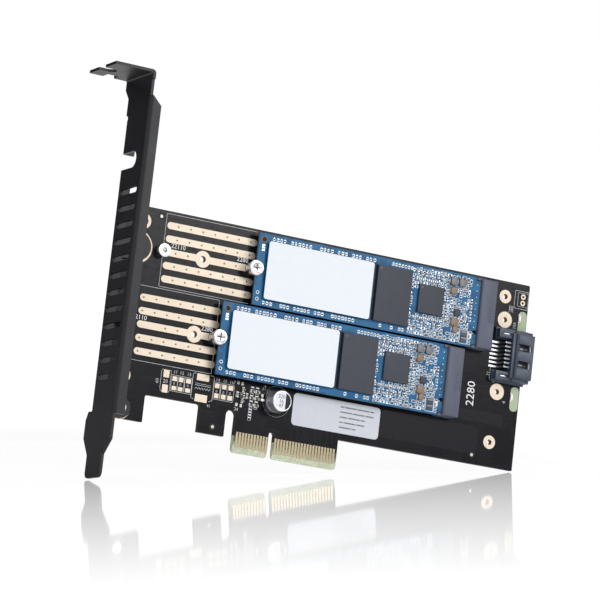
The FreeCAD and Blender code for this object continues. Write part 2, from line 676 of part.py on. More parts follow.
def make_bracket():
    """Bracket folded from one sheet: face, two lips, top, two mounting tabs and vents."""
    far_lip = folded_lip(COPPER, 1, FAR_LIP_BOTTOM, FAR_LIP_TOP, LIP_DEPTH)
    pieces = [bracket_face(), near_lip(), far_lip, folded_top()]
    pieces += [mounting_tab(*tab) for tab in MOUNT_TABS]
    whole = fused(pieces)
    vents = [vent(VENT_FIRST - i * VENT_PITCH) for i in range(VENT_COUNT)]
    return whole.cut(group(vents + [side_notch()]))


def make_bracket_screws():
    """Two cross-head screws put in from the solder side."""
    back = -BOARD_THICKNESS
    screws = []
    for x, z, _ in MOUNT_TABS:
        shank = disc(x, z, SCREW_SHANK_RADIUS, back, COPPER + SHEET + SCREW_TIP)
        head = disc(x, z, SCREW_HEAD_RADIUS, back - SCREW_HEAD_HEIGHT, back)
        screw = shank.fuse(head)
        outer = back - SCREW_HEAD_HEIGHT
        arm = SCREW_HEAD_RADIUS * SCREW_CROSS_SHARE
        recess = cross_recess(x, z, arm, outer - 1, outer + SCREW_CROSS_DEPTH)
        screws.append(screw.cut(recess).removeSplitter())
    return group(screws)


# ---------------------------------------------------------------- sockets and standoffs
def along_module(name, along, across):
    """Turn a place on a module into a place on the board."""
    left, bottom = MODULE_PLACES[name]
    return left + along, bottom + across


def make_socket(name):
    """M.2 socket housing: a body with a slot for the card edge and an ear at each end."""
    x, _ = along_module(name, SOCKET_MOUTH, 0)
    centre = module_centre(name)
    low = centre - SOCKET_WIDTH / 2
    high = centre + SOCKET_WIDTH / 2
    rear = x + SOCKET_DEPTH
    body = block(x, rear, low, high, SOCKET_SEAT, SOCKET_HEIGHT)
    top_edges = [e for e in body.Edges if all(abs(FACE_Y - v.Y - SOCKET_HEIGHT) < 1e-6 for v in e.Vertexes)]
    body = body.makeChamfer(SOCKET_CHAMFER, top_edges)
    pieces = [body]
    for side in (-1, 1):
        edge = centre + side * MODULE_WIDTH / 2
        inner = edge - side * SOCKET_EAR_WIDTH
        bottom, top = sorted((edge, inner))
        root = x + SOCKET_EAR_ROOT
        pieces.append(block(x - SOCKET_EAR_LENGTH, root, bottom, top, 0, SOCKET_EAR_HEIGHT))
        pieces.append(block(root, rear - SOCKET_EAR_ROOT, bottom, top, 0, SOCKET_HEIGHT / 2))
    housing = fused(pieces)
    slot_low = STANDOFF_HEIGHT - SOCKET_SLOT_CLEARANCE
    slot_high = STANDOFF_HEIGHT + MODULE_THICKNESS + SOCKET_SLOT_CLEARANCE
    half = MODULE_WIDTH / 2 - MODULE_STEP + SOCKET_SLOT_CLEARANCE
    end = along_module(name, MODULE_LENGTH + SOCKET_SLOT_CLEARANCE, 0)[0]
    slot = block(x - SOCKET_EAR_LENGTH - 1, end, centre - half, centre + half, slot_low, slot_high)
    key = centre - MODULE_KEY_OFFSET
    half_key = MODULE_KEY_WIDTH / 2 - SOCKET_SLOT_CLEARANCE
    slot = slot.cut(block(x, end, key - half_key, key + half_key, slot_low - 1, slot_high + 1))
    start = x + GROOVE_START
    grooves = []
    for i in range(SOCKET_GROOVES):
        z = centre + (i - SOCKET_GROOVES / 2) * GROOVE_PITCH
        floor = SOCKET_HEIGHT - GROOVE_DEPTH
        grooves.append(block(start, start + GROOVE_LENGTH, z, z + GROOVE_PITCH / 2, floor, SOCKET_HEIGHT + 1))
    return housing.cut(group([slot] + grooves))


def make_socket_tails(name):
    """Solder tails of the socket contacts, under the rear of the housing."""
    x, _ = along_module(name, SOCKET_MOUTH + SOCKET_DEPTH, 0)
    centre = module_centre(name)
    count = int((SOCKET_WIDTH - TAIL_ROW_MARGIN) / TAIL_PITCH)
    tails = []
    for i in range(count):
        z = centre + (i - (count - 1) / 2) * TAIL_PITCH
        left = x - TAIL_LENGTH
        right = x + TAIL_OVERHANG
        tails.append(block(left, right, z - TAIL_WIDTH / 2, z + TAIL_WIDTH / 2, 0, SOCKET_SEAT))
    return group(tails)


def make_standoffs():
    """Turned standoffs with a blind thread, soldered to the board."""
    standoffs = []
    for x, z in standoff_places():
        post = disc(x, z, STANDOFF_RADIUS, 0, STANDOFF_HEIGHT)
        thread = disc(x, z, STANDOFF_THREAD_RADIUS, STANDOFF_FLOOR, STANDOFF_HEIGHT + 1)
        standoffs.append(post.cut(thread))
    return group(standoffs)


def make_module_screws():
    """Flat-head screws that hold the two modules down."""
    seat = STANDOFF_HEIGHT + MODULE_THICKNESS
    top = seat + M2_SCREW_HEAD_HEIGHT
    screws = []
    for name, (x, _) in MODULE_PLACES.items():
        z = module_centre(name)
        head = disc(x, z, M2_SCREW_HEAD_RADIUS, seat, top)
        rim = [e for e in head.Edges if len(e.Vertexes) == 1 and abs(FACE_Y - e.Vertexes[0].Y - top) < 1e-6]
        head = head.makeChamfer(M2_SCREW_HEAD_HEIGHT / 3, rim)
        shank = disc(x, z, M2_SCREW_SHANK_RADIUS, STANDOFF_HEIGHT - M2_SCREW_REACH, seat)
        arm = M2_SCREW_HEAD_RADIUS * M2_SCREW_CROSS_SHARE
        recess = cross_recess(x, z, arm, top - M2_SCREW_CROSS_DEPTH, top + 1)
        screws.append(head.fuse(shank).cut(recess).removeSplitter())
    return group(screws)


# ---------------------------------------------------------------- modules
def make_module_board(name):
    """Module board with its half-round screw notch, narrow card edge and key slot."""
    left, bottom = MODULE_PLACES[name]
    top = bottom + MODULE_WIDTH
    centre = module_centre(name)
    right = left + MODULE_LENGTH
    step_x = right - MODULE_STEP_LENGTH
    notch = MODULE_NOTCH_RADIUS
    key = centre - MODULE_KEY_OFFSET
    half = MODULE_KEY_WIDTH / 2
    key_left = right - MODULE_KEY_DEPTH
    drawn = Outline(place, left, bottom)
    drawn.to((step_x, bottom), (step_x, bottom + MODULE_STEP), (right, bottom + MODULE_STEP))
    drawn.to((right, key - half), (key_left + half, key - half))
    drawn.arc((key_left, key), (key_left + half, key + half))
    drawn.to((right, key + half), (right, top - MODULE_STEP), (step_x, top - MODULE_STEP))
    drawn.to((step_x, top), (left, top), (left, centre + notch))
    drawn.arc((left + notch, centre), (left, centre - notch))
    return raised(drawn.face(), STANDOFF_HEIGHT, STANDOFF_HEIGHT + MODULE_THICKNESS)


def chip(name, along, across, length, width, height):
    """Moulded chip on a module, bevelled round its top."""
    x, z = along_module(name, along, across)
    low = STANDOFF_HEIGHT + MODULE_THICKNESS + CHIP_SEAT
    body = block(x, x + length, z, z + width, low, low + height - CHIP_SEAT)
    top = low + height - CHIP_SEAT
    rim = [e for e in body.Edges if all(abs(FACE_Y - v.Y - top) < 1e-6 for v in e.Vertexes)]
    return body.makeChamfer(CHIP_BEVEL, rim)


def make_controller(name):
    """Square controller chip."""
    along, across = CONTROLLER_PLACE
    return chip(name, along, across, CONTROLLER_SIDE, CONTROLLER_SIDE, CONTROLLER_HEIGHT)


def make_module_label(name):
    """Bare sticker that lies over the first two flash chips."""
    along, across, length, width = MODULE_LABEL
    x, z = along_module(name, along, across)
    low = STANDOFF_HEIGHT + MODULE_THICKNESS + FLASH_HEIGHT
    return rounded_plate(x, z, length, width, MODULE_LABEL_CORNER, low, low + LABEL_THICKNESS)


def make_inductors(name):
    """Two moulded power inductors with cut upright edges."""
    low = STANDOFF_HEIGHT + MODULE_THICKNESS
    half = INDUCTOR_SIDE / 2
    solids = []
    for along, across in INDUCTOR_PLACES:
        x, z = along_module(name, along - half, across - half)
        solids.append(cut_corner_plate(x, z, INDUCTOR_SIDE, INDUCTOR_CORNER, low, low + INDUCTOR_HEIGHT))
    return group(solids)


def make_polymer_capacitors(name):
    """Three square capacitors with cut corners."""
    low = STANDOFF_HEIGHT + MODULE_THICKNESS
    solids = []
    for (along, across), side in zip(POLYMER_PLACES, POLYMER_SIDES):
        x, z = along_module(name, along - side / 2, across - side / 2)
        solids.append(cut_corner_plate(x, z, side, POLYMER_CORNER, low, low + POLYMER_HEIGHT))
    return group(solids)


def passive_places():
    """Places of the small chip parts on a module: rows round the controller and a side bank."""
    along0, across0 = CONTROLLER_PLACE
    top = across0 + CONTROLLER_SIDE
    places = []
    for i in range(PASSIVE_ROW):
        along = along0 - PASSIVE_ROW_LEAD + i * PASSIVE_PITCH
        places.append((along, top + PASSIVE_NEAR, False))
        places.append((along, top + PASSIVE_FAR, True))
        places.append((along, across0 - PASSIVE_NEAR, False))
        places.append((along, across0 - PASSIVE_FAR, True))
    for i in range(PASSIVE_COLUMN):
        across = across0 + i * PASSIVE_COLUMN_PITCH
        places.append((along0 + CONTROLLER_SIDE + PASSIVE_NEAR, across, True))
        places.append((PASSIVE_BANKS[0], across, False))
        places.append((PASSIVE_BANKS[1], across + PASSIVE_COLUMN_PITCH / 2, True))
    return places


def make_passives(name):
    """Small chip resistors and capacitors, lying or upright."""
    low = STANDOFF_HEIGHT + MODULE_THICKNESS
    solids = []
    for along, across, upright in passive_places():
        x, z = along_module(name, along, across)
        half_x = (PASSIVE_WIDTH if upright else PASSIVE_LENGTH) / 2
        half_z = (PASSIVE_LENGTH if upright else PASSIVE_WIDTH) / 2
        solids.append(block(x - half_x, x + half_x, z - half_z, z + half_z, low, low + PASSIVE_HEIGHT))
    return group(solids)


# ---------------------------------------------------------------- SATA port
def sata_pin_places():
    """Centre lines of the seven contacts."""
    middle = (SATA_PINS - 1) / 2
    return [SATA_CENTRE + (i - middle) * SATA_PITCH for i in range(SATA_PINS)]


def sata_contact(z, clearance=0.0):
    """Bent contact: solder tail, riser, and a blade that lies on the tongue."""
    width = SATA_PIN_WIDTH + 2 * clearance
    thick = SATA_PIN_THICKNESS
    rise = SATA_TONGUE[3]
    start_z = z - width / 2

    def plane(back, height):
        return place(SATA_MOUTH - back, start_z, height)

    tip = SATA_TONGUE[0] + SATA_BLADE_END - clearance
    drawn = Outline(plane, SATA_TAIL_BACK, -clearance)
    drawn.to((SATA_TAIL_BEND, -clearance), (SATA_RISER_TOP, rise - clearance))
    drawn.to((tip, rise - clearance), (tip, rise + thick + clearance))
    drawn.to((SATA_RISER_TOP + thick, rise + thick + clearance))
    drawn.to((SATA_TAIL_BEND + thick, thick + clearance), (SATA_TAIL_BACK, thick + clearance))
    return drawn.face().extrude(FreeCAD.Vector(0, 0, width))


def sata_block(back, front, width, low, high, offset=0.0):
    """Block between two distances back from the mouth, centred at an offset from the centre line."""
    middle = SATA_CENTRE + offset
    return block(SATA_MOUTH - back, SATA_MOUTH - front, middle - width / 2, middle + width / 2, low, high)


def sata_holds(clearance=0.0):
    """Flat hold-down clips, or with a clearance the slots that take them."""
    back, front, thick, height = SATA_HOLD_DOWN
    offset = SATA_ARM_EDGE - SATA_ARM[2] / 2
    solids = []
    for side in (-1, 1):
        size = (back + clearance, front - clearance, thick + 2 * clearance)
        solids.append(sata_block(*size, 0, height + 4 * clearance, side * offset))
    return solids


def sata_body():
    """Outside of the port: base, two arms, cross wall, shroud and the ledge beside it."""
    back, front, width, height = SATA_BASE
    wall_back, wall_front, wall_top = SATA_WALL
    shroud_back, shroud_width, shroud_top = SATA_SHROUD
    ledge_back, ledge_front, ledge_width, ledge_top = SATA_LEDGE
    arm_back, arm_front, arm_width, arm_top = SATA_ARM
    opening = SATA_PINS * SATA_PITCH + SATA_BASE_OPENING
    base = sata_block(back, front, width, 0, height)
    base = base.cut(sata_block(back + 1, wall_back, opening, -1, height + 1))
    shroud = sata_block(shroud_back, 0, shroud_width, SATA_SHROUD_BOTTOM, shroud_top)
    rim = [e for e in shroud.Edges if all(abs(FACE_Y - v.Y - shroud_top) < 1e-6 for v in e.Vertexes)]
    shroud = shroud.makeChamfer(SATA_CHAMFER, rim)
    ledge = sata_block(ledge_back, ledge_front, ledge_width, SATA_SHROUD_BOTTOM, ledge_top)
    wall = sata_block(wall_back, wall_front, shroud_width, 0, wall_top)
    pieces = [base, shroud, ledge, wall]
    for side in (-1, 1):
        offset = side * (SATA_ARM_EDGE - arm_width / 2)
        pieces.append(sata_block(arm_back, arm_front, arm_width, 0, arm_top, offset))
    return fused(pieces)


def make_sata_housing():
    """Moulded port: a hollow shroud with windows, round a tongue that carries the contacts."""
    shroud_top = SATA_SHROUD[2]
    cavity_back, cavity_width, floor, roof = SATA_CAVITY
    tongue_front, tongue_width, tongue_low, tongue_top = SATA_TONGUE
    window_back, window_front, window_width, window_offset = SATA_WINDOW
    slit_back, slit_front, slit_width = SATA_SLIT
    through = (roof - SATA_HOLD_CLEARANCE, shroud_top + 1)
    cutters = [sata_block(cavity_back, -1, cavity_width, floor, roof)]
    for side in (-1, 1):
        offset = side * window_offset
        cutters.append(sata_block(window_back, window_front, window_width, *through, offset))
        cutters.append(sata_block(slit_back, slit_front, slit_width, *through, offset))
    hollow = sata_body().cut(cutters)
    root = cavity_back + SATA_TONGUE_ROOT
    tongue = sata_block(root, tongue_front, tongue_width, tongue_low, tongue_top)
    channels = [sata_contact(z, CONTACT_CLEARANCE) for z in sata_pin_places()]
    housing = hollow.fuse(tongue).cut(group(channels + sata_holds(SATA_HOLD_CLEARANCE)))
    return housing.removeSplitter()


# ---------------------------------------------------------------- capacitor
def make_capacitor_base():
    """Square moulded base with two cut corners."""
    half = CAN_BASE_SIDE / 2
    cut = CAN_BASE_CHAMFER
    drawn = Outline(place, CAN_X - half, CAN_Z - half)
    drawn.to((CAN_X + half - cut, CAN_Z - half), (CAN_X + half, CAN_Z - half + cut))
    drawn.to((CAN_X + half, CAN_Z + half - cut), (CAN_X + half - cut, CAN_Z + half))
    drawn.to((CAN_X - half, CAN_Z + half))
    return raised(drawn.face(), LEAD_THICKNESS, CAN_BASE_HEIGHT)


def make_capacitor_can():
    """Aluminium can with a crimped groove and a sloped shoulder."""
    def plane(radius, rise):
        return place(CAN_X + radius, CAN_Z, rise)

    r = CAN_RADIUS
    groove = CAN_GROOVE_RISE
    drawn = Outline(plane, 0, CAN_BASE_HEIGHT)
    drawn.to((r, CAN_BASE_HEIGHT), (r, groove - CAN_GROOVE_HALF), (r - CAN_GROOVE_DEPTH, groove))
    drawn.to((r, groove + CAN_GROOVE_HALF), (r, CAN_TOP - CAN_SHOULDER))
    drawn.to((r - CAN_SHOULDER, CAN_TOP), (0, CAN_TOP))
    return drawn.face().revolve(place(CAN_X, CAN_Z), TOWARD_VIEWER, 360)


def make_capacitor_leads():
    """Two flat leads under the base."""
    half = CAN_BASE_SIDE / 2
    leads = []
    for side in (-1, 1):
        inner = CAN_X + side * LEAD_GAP / 2
        outer = CAN_X + side * (half + LEAD_REACH)
        left, right = sorted((inner, outer))
        leads.append(block(left, right, CAN_Z - LEAD_WIDTH / 2, CAN_Z + LEAD_WIDTH / 2, 0, LEAD_THICKNESS))
    return group(leads)


# ---------------------------------------------------------------- small parts and stickers
def make_small_chips(places, upright):
    """Row of small chip parts on the card."""
    half_x = (CHIP_WIDTH if upright else CHIP_LENGTH) / 2
    half_z = (CHIP_LENGTH if upright else CHIP_WIDTH) / 2
    return group([block(x - half_x, x + half_x, z - half_z, z + half_z, 0, CHIP_HEIGHT) for x, z in places])


def make_leds():
    """Side-lit lamps beside the two light windows."""
    width, height, rise = LED_SIZE
    lamps = []
    for back, z in LEDS:
        x = BOARD_RIGHT - back
        lamps.append(block(x - width / 2, x + width / 2, z - height / 2, z + height / 2, 0, rise))
    return group(lamps)


def make_board_label():
    """Bare white sticker on the card."""
    x, z, length, height = BOARD_LABEL
    return rounded_plate(x, z, length, height, BOARD_LABEL_CORNER, 0, LABEL_THICKNESS)


def build_nodes():
    """Every piece of the card by its node name."""
    nodes = {
        "main_board": make_board(),
        "edge_contacts": make_edge_contacts(),
        "plated_pads": make_plated_pads(),
        "mounting_pads": make_mounting_pads(),
        "bracket": make_bracket(),
        "bracket_screws": make_bracket_screws(),
        "module_standoffs": make_standoffs(),
        "module_screws": make_module_screws(),
        "sata_housing": make_sata_housing(),
        "sata_contacts": group([sata_contact(z) for z in sata_pin_places()]),
        "sata_hold_downs": group(sata_holds()),
        "capacitor_base": make_capacitor_base(),
        "capacitor_can": make_capacitor_can(),
        "capacitor_leads": make_capacitor_leads(),
        "chip_resistors": make_small_chips(CHIP_RESISTORS, False),
        "chip_capacitors": make_small_chips(CHIP_CAPACITORS, True),
        "status_leds": make_leds(),
        "board_label": make_board_label(),
    }
    for name in MODULE_PLACES:
        nodes["heat_strips_" + name] = make_heat_strips(name)
        nodes["m2_socket_" + name] = make_socket(name)
        nodes["m2_socket_tails_" + name] = make_socket_tails(name)
        nodes["module_board_" + name] = make_module_board(name)
        nodes["controller_" + name] = make_controller(name)
        nodes["module_label_" + name] = make_module_label(name)
        nodes["module_inductors_" + name] = make_inductors(name)
        nodes["module_capacitors_" + name] = make_polymer_capacitors(name)
        nodes["module_passives_" + name] = make_passives(name)
        for number, along in enumerate(FLASH_ALONG, start=1):
            flash = chip(name, along, FLASH_ACROSS, FLASH_LENGTH, FLASH_WIDTH, FLASH_HEIGHT)
            nodes["flash_%s_%d" % (name, number)] = flash
    return nodes


os.makedirs("parts", exist_ok=True)
for node_name, shape in build_nodes().items():
    shape.exportStep("parts/%s.step" % node_name)
    print(node_name, shape.isValid(), len(shape.Solids), round(shape.Volume, 3))
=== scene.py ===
"""Looks of an upright adapter card that carries two storage modules and a data port.

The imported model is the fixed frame. Classes below dress its nodes, or stand finer pieces in for them,
and add what is printed, plated or soldered on them. Lengths are millimetres in the card's own frame:
X runs along the card away from the bracket, Z runs up, and "rise" is the height above a face of the board.
"""

import logging
import math
import random
from dataclasses import dataclass
from enum import Enum
from functools import cached_property
from typing import Iterable, Sequence

import bmesh
import bpy
from mathutils import Matrix, Vector


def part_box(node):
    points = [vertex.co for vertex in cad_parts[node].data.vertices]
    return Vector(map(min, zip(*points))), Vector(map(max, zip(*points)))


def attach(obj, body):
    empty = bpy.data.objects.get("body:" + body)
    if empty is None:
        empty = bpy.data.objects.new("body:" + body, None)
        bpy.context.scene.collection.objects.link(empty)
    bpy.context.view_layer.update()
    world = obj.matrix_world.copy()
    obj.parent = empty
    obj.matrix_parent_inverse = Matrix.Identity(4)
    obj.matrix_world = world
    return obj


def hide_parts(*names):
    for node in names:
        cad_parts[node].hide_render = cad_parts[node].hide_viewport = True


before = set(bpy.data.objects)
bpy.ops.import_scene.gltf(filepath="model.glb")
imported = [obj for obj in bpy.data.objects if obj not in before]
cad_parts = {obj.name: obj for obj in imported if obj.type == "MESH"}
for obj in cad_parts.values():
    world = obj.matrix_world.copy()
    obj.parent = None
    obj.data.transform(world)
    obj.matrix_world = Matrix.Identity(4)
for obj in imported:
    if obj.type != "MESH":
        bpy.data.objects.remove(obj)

MM = 0.001
LOG = logging.getLogger("adapter_card")
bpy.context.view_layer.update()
Colour = tuple[float, float, float]
Pair = tuple[float, float]
Triple = tuple[float, float, float]
Patch = tuple[float, float, float, float]

PAD = (0.0, 0.05)           # rises of a bare or tinned pad
MASK = (0.0, 0.03)          # rises of mask over copper
PRINT = 0.02                # rise of screen print
FINE_PRINT = 0.015          # rise of the modules' screen print
FIGURE_SHARE = 0.7          # height of a figure as a share of its type's size
MIDDLE = Vector((10.0, 0.0, 45.0))   # what the lamps and the dark cards face
BREAK_ANGLE = 35.0          # edges that turn more than this, in degrees, are broken
SMOOTH_ANGLE = 40.0         # faces that meet at less than this, in degrees, are shaded as one surface
WELD = 0.0005               # corners nearer than this are one


class Side(Enum):
    """The two faces of the board."""

    FRONT = -1.0
    BACK = 1.0

    def height(self, rise: float) -> float:
        """Where a rise above this face lies across the board, in millimetres."""
        low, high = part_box("main_board")
        face = low.y if self is Side.FRONT else high.y
        return face / MM + self.value * rise

    def rise(self, across: float) -> float:
        """The rise above this face, in millimetres, of a place across the board, in metres."""
        return self.value * (across / MM - self.height(0.0))


class Run(Enum):
    """The way that the grain or the tool marks of a metal run."""

    ALONG = (1.0, 12.0, 12.0)
    UP = (12.0, 12.0, 1.0)
    NONE = (1.0, 1.0, 1.0)


# ----------------------------------------------------------------------------------------------------------
# Finishes
# ----------------------------------------------------------------------------------------------------------


class Graph:
    """The node tree of a material or of the world, with short calls for the nodes that are used most."""

    def __init__(self, owner: bpy.types.Material | bpy.types.World) -> None:
        """Starts the tree.

        Args:
            owner: The new material or world.
        """
        owner.use_nodes = True
        self.owner = owner
        self.tree = owner.node_tree
        self.surface = self.tree.nodes.get("Principled BSDF")

    @cached_property
    def place(self) -> bpy.types.NodeSocket:
        """The piece's own coordinates."""
        return self.node("TexCoord").outputs["Object"]

    def feed(self, socket: bpy.types.NodeSocket, value: object) -> None:
        """Sets a socket to a number or colour, or joins it to another node's output."""
        if isinstance(value, bpy.types.NodeSocket):
            self.tree.links.new(value, socket)
        elif isinstance(value, tuple) and len(value) == 3 and socket.type == "RGBA":
            socket.default_value = (*value, 1.0)
        else:
            socket.default_value = value

    def node(self, kind: str, **given: object) -> bpy.types.ShaderNode:
        """A new node with some of its inputs fed.

        Args:
            kind: The node's kind.
            given: The inputs by name, with an underscore for each space.

        Returns:
            The node.
        """
        node = self.tree.nodes.new("ShaderNode" + kind)
        for name, value in given.items():
            self.feed(node.inputs[name.replace("_", " ")], value)
        return node

    def mapped(self, scale: Triple = (1.0, 1.0, 1.0), turn: Triple = (0.0, 0.0, 0.0)) -> bpy.types.NodeSocket:
        """The piece's own coordinates, stretched along each axis and turned about each, in degrees."""
        angles = tuple(math.radians(a) for a in turn)
        return self.node("Mapping", Vector=self.place, Scale=scale, Rotation=angles).outputs["Vector"]

    def noise(self, grain: float, detail: float = 2.0, place: object = None) -> bpy.types.NodeSocket:
        """Soft cloudy variation.

        Args:
            grain: Size of its patches in millimetres.
            detail: How many finer layers it has.
            place: Coordinates to use in place of the piece's own.

        Returns:
            A value from 0 to 1.
        """
        node = self.node("TexNoise", Vector=place or self.place, Scale=1.0 / (grain * MM), Detail=detail)
        return node.outputs["Fac"]

    def cells(self, size: float, square: bool = False) -> bpy.types.NodeSocket:
        """The distance, in cells, from the middles of cells scattered over the face of a board.

        Args:
            size: Size of a cell in millimetres.
            square: Whether the cells' sides run along and up the board.

        Returns:
            The distance.
        """
        node = self.node("TexVoronoi", Vector=self.mapped(turn=(90.0, 0.0, 0.0)), Scale=1.0 / (size * MM))
        node.voronoi_dimensions = "2D"
        node.distance = "CHEBYCHEV" if square else "EUCLIDEAN"
        return node.outputs["Distance"]

    def maths(self, operation: str, *values: object) -> bpy.types.NodeSocket:
        """One sum on numbers or outputs."""
        node = self.node("Math")
        node.operation = operation
        for socket, value in zip(node.inputs, values):
            self.feed(socket, value)
        return node.outputs["Value"]

    def axis(self, name: str) -> bpy.types.NodeSocket:
        """One of the piece's own coordinates, X, Y or Z, in metres."""
        return self.node("SeparateXYZ", Vector=self.place).outputs[name]

    def facing(self, name: str) -> bpy.types.NodeSocket:
        """How far a face looks along an axis, either way, from 0 to 1."""
        normal = self.node("NewGeometry").outputs["True Normal"]
        return self.maths("ABSOLUTE", self.node("SeparateXYZ", Vector=normal).outputs[name])

    def inside(self, value: object, low: float, high: float) -> bpy.types.NodeSocket:
        """1 where a coordinate lies between two places, in millimetres, and 0 elsewhere."""
        above = self.maths("GREATER_THAN", value, low * MM)
        return self.maths("MULTIPLY", above, self.maths("LESS_THAN", value, high * MM))

    def step(self, value: object, low: float, high: float, wanted: Pair = (0.0, 1.0)) -> bpy.types.NodeSocket:
        """Turns the span of a value between two limits into another, which is 0 to 1 if not told."""
        node = self.node("MapRange", Value=value, From_Min=low, From_Max=high, To_Min=wanted[0],
                         To_Max=wanted[1])
        return node.outputs["Result"]

    def mix(self, share: object, first: object, second: object) -> bpy.types.NodeSocket:
        """A blend of two colours."""
        node = self.node("Mix")
        node.data_type = "RGBA"
        for number, value in ((0, share), (6, first), (7, second)):
            self.feed(node.inputs[number], value)
        return node.outputs[2]

    def blend(self, share: object, first: bpy.types.Node, second: bpy.types.Node) -> bpy.types.ShaderNode:
        """A blend of two shaders."""
        node = self.node("MixShader", Fac=share)
        for number, shader in ((1, first), (2, second)):
            self.feed(node.inputs[number], shader.outputs[0])
        return node

    def seen(self) -> bpy.types.NodeSocket:
        """1 for rays that come from the eye, a mirror or glass, and 0 for the rest."""
        path = self.node("LightPath").outputs
        either = self.maths("MAXIMUM", path["Is Camera Ray"], path["Is Glossy Ray"])
        return self.maths("MAXIMUM", either, path["Is Transmission Ray"])

    def tint(self, colour: object) -> None:
        """Sets the surface's colour."""
        self.feed(self.surface.inputs["Base Color"], colour)

    def relief(self, height: object, depth: float) -> None:
        """Raises the surface by a value, depth millimetres at the most, on top of what already raises it."""
        node = self.node("Bump", Height=height, Distance=depth * MM, Strength=1.0)
        normal = self.surface.inputs["Normal"]
        if normal.is_linked:
            self.feed(node.inputs["Normal"], normal.links[0].from_socket)
        self.feed(normal, node.outputs["Normal"])


@dataclass(frozen=True)
class Finish:
    """A plain moulded, fired or printed finish with a fine grain.

    Attributes:
        name: The material's name.
        slot: The record's material slot that it belongs to; not used.
        colour: Its main colour.
        other: The colour that its grain drifts to.
        roughness: Mean roughness.
        spread: How much the roughness varies.
        metallic: 1 for bare metal.
        specular: Strength of the gloss on what isn't metal.
        grain: Size of the grain in millimetres.
        depth: Depth of the grain in millimetres.
    """

    name: str
    slot: str
    colour: Colour
    other: Colour
    roughness: float = 0.5
    spread: float = 0.1
    metallic: float = 0.0
    specular: float = 0.5
    grain: float = 0.3
    depth: float = 0.01

    def material(self) -> bpy.types.Material:
        """The finish's material, made the first time that it is asked for."""
        known = bpy.data.materials.get(self.name)
        if known is not None:
            return known
        graph = Graph(bpy.data.materials.new(self.name))
        graph.surface.inputs["Metallic"].default_value = self.metallic
        graph.surface.inputs["Specular IOR Level"].default_value = self.specular
        self.dress(graph)
        return graph.owner

    def dress(self, graph: Graph) -> None:
        """Joins up the nodes of the finish."""
        fine = graph.noise(self.grain)
        graph.tint(graph.mix(graph.noise(self.grain * 6.0, 3.0), self.colour, self.other))
        self.shine(graph, fine)
        graph.relief(fine, self.depth)

    def shine(self, graph: Graph, value: object, matt: object = None) -> None:
        """Lets the roughness drift with a value, and raises it where a face is matt.

        Args:
            graph: The finish's nodes.
            value: What the roughness drifts with.
            matt: 1 where the face is matt, if any part of it is.
        """
        rough = graph.maths("MULTIPLY_ADD", value, self.spread, self.roughness - self.spread / 2.0)
        if matt is not None:
            rough = graph.maths("MULTIPLY_ADD", matt, 0.3, rough)
        graph.feed(graph.surface.inputs["Roughness"], rough)


@dataclass(frozen=True)
class BoardMask(Finish):
    """Solder mask over copper and glass fibre, with sawn edges.

    Attributes:
        edge: Colour of the sawn edge between the copper layers.
        copper: Colour of a copper layer in the sawn edge.
        bare: Colour of the laminate where there is no mask.
        bare_edge: The colour that its sawn edge drifts to.
        shaded: Its darker colour higher up the bare tongue, between the contacts.
        shade_span: Heights between which it takes that colour.
        bare_top: Height up to which the tongue has no mask.
        bare_span: The tongue's ends along the card.
        thickness: The laminate's thickness.
        pour: Size of the copper fields.
    """

    edge: Colour = (0.040, 0.040, 0.042)
    copper: Colour = (0.13, 0.07, 0.035)
    bare: Colour = (0.60, 0.64, 0.48)
    bare_edge: Colour = (0.50, 0.54, 0.42)
    shaded: Colour = (0.11, 0.105, 0.065)
    shade_span: Pair = (1.4, 3.9)
    bare_top: float = 5.1
    bare_span: Pair = (-13.0, 23.0)
    thickness: float = 1.6
    pour: float = 9.0

    def dress(self, graph: Graph) -> None:
        """Joins up the mask, its buried copper, its covered vias, the tongue and the sawn edge."""
        fields = graph.step(graph.cells(self.pour, square=True), 0.30, 0.34)
        vias = graph.step(graph.cells(3.4), 0.075, 0.105)
        fine = graph.noise(self.grain)
        copper = graph.maths("MULTIPLY", fields, graph.noise(self.grain * 12.0, 3.0))
        laminate = self.tongue(graph)
        face = graph.mix(laminate, graph.mix(copper, self.colour, self.other), self.weave(graph))
        sawn = graph.maths("LESS_THAN", graph.facing("Y"), 0.6)
        graph.tint(graph.mix(sawn, face, self.layers(graph)))
        self.shine(graph, fine, graph.maths("MAXIMUM", laminate, sawn))
        for height, depth in ((fields, 0.006), (vias, 0.02), (fine, self.depth)):
            graph.relief(height, depth)

    def tongue(self, graph: Graph) -> bpy.types.NodeSocket:
        """1 on the bare foot of the tongue and 0 elsewhere."""
        low = graph.maths("LESS_THAN", graph.axis("Z"), self.bare_top * MM)
        return graph.maths("MULTIPLY", low, graph.inside(graph.axis("X"), *self.bare_span))

    def weave(self, graph: Graph) -> bpy.types.NodeSocket:
        """Bare laminate with the cloth's threads faintly showing."""
        threads = graph.maths("MULTIPLY", *(graph.noise(0.5, 1.0, graph.mapped(stretch))
                                            for stretch in ((1.0, 1.0, 0.15), (0.15, 1.0, 1.0))))
        cloth = graph.mix(graph.step(threads, 0.15, 0.4), darker(self.bare, 0.72), self.bare)
        low, high = self.shade_span
        return graph.mix(graph.step(graph.axis("Z"), low * MM, high * MM), cloth, self.shaded)

    def layers(self, graph: Graph) -> bpy.types.NodeSocket:
        """The sawn edge, pale fibre between darker copper layers; paler still below the mask's end."""
        depth = graph.maths("MULTIPLY", graph.axis("Y"), 1.0 / (self.thickness / 3.0 * MM))
        line = graph.maths("LESS_THAN", graph.maths("FRACT", graph.maths("ADD", depth, 40.5)), 0.12)
        fibre = graph.mix(graph.noise(0.25, 3.0), self.edge, darker(self.edge, 0.6))
        bare = graph.mix(graph.noise(0.3), self.bare, self.bare_edge)
        return graph.mix(self.tongue(graph), graph.mix(line, fibre, self.copper), bare)


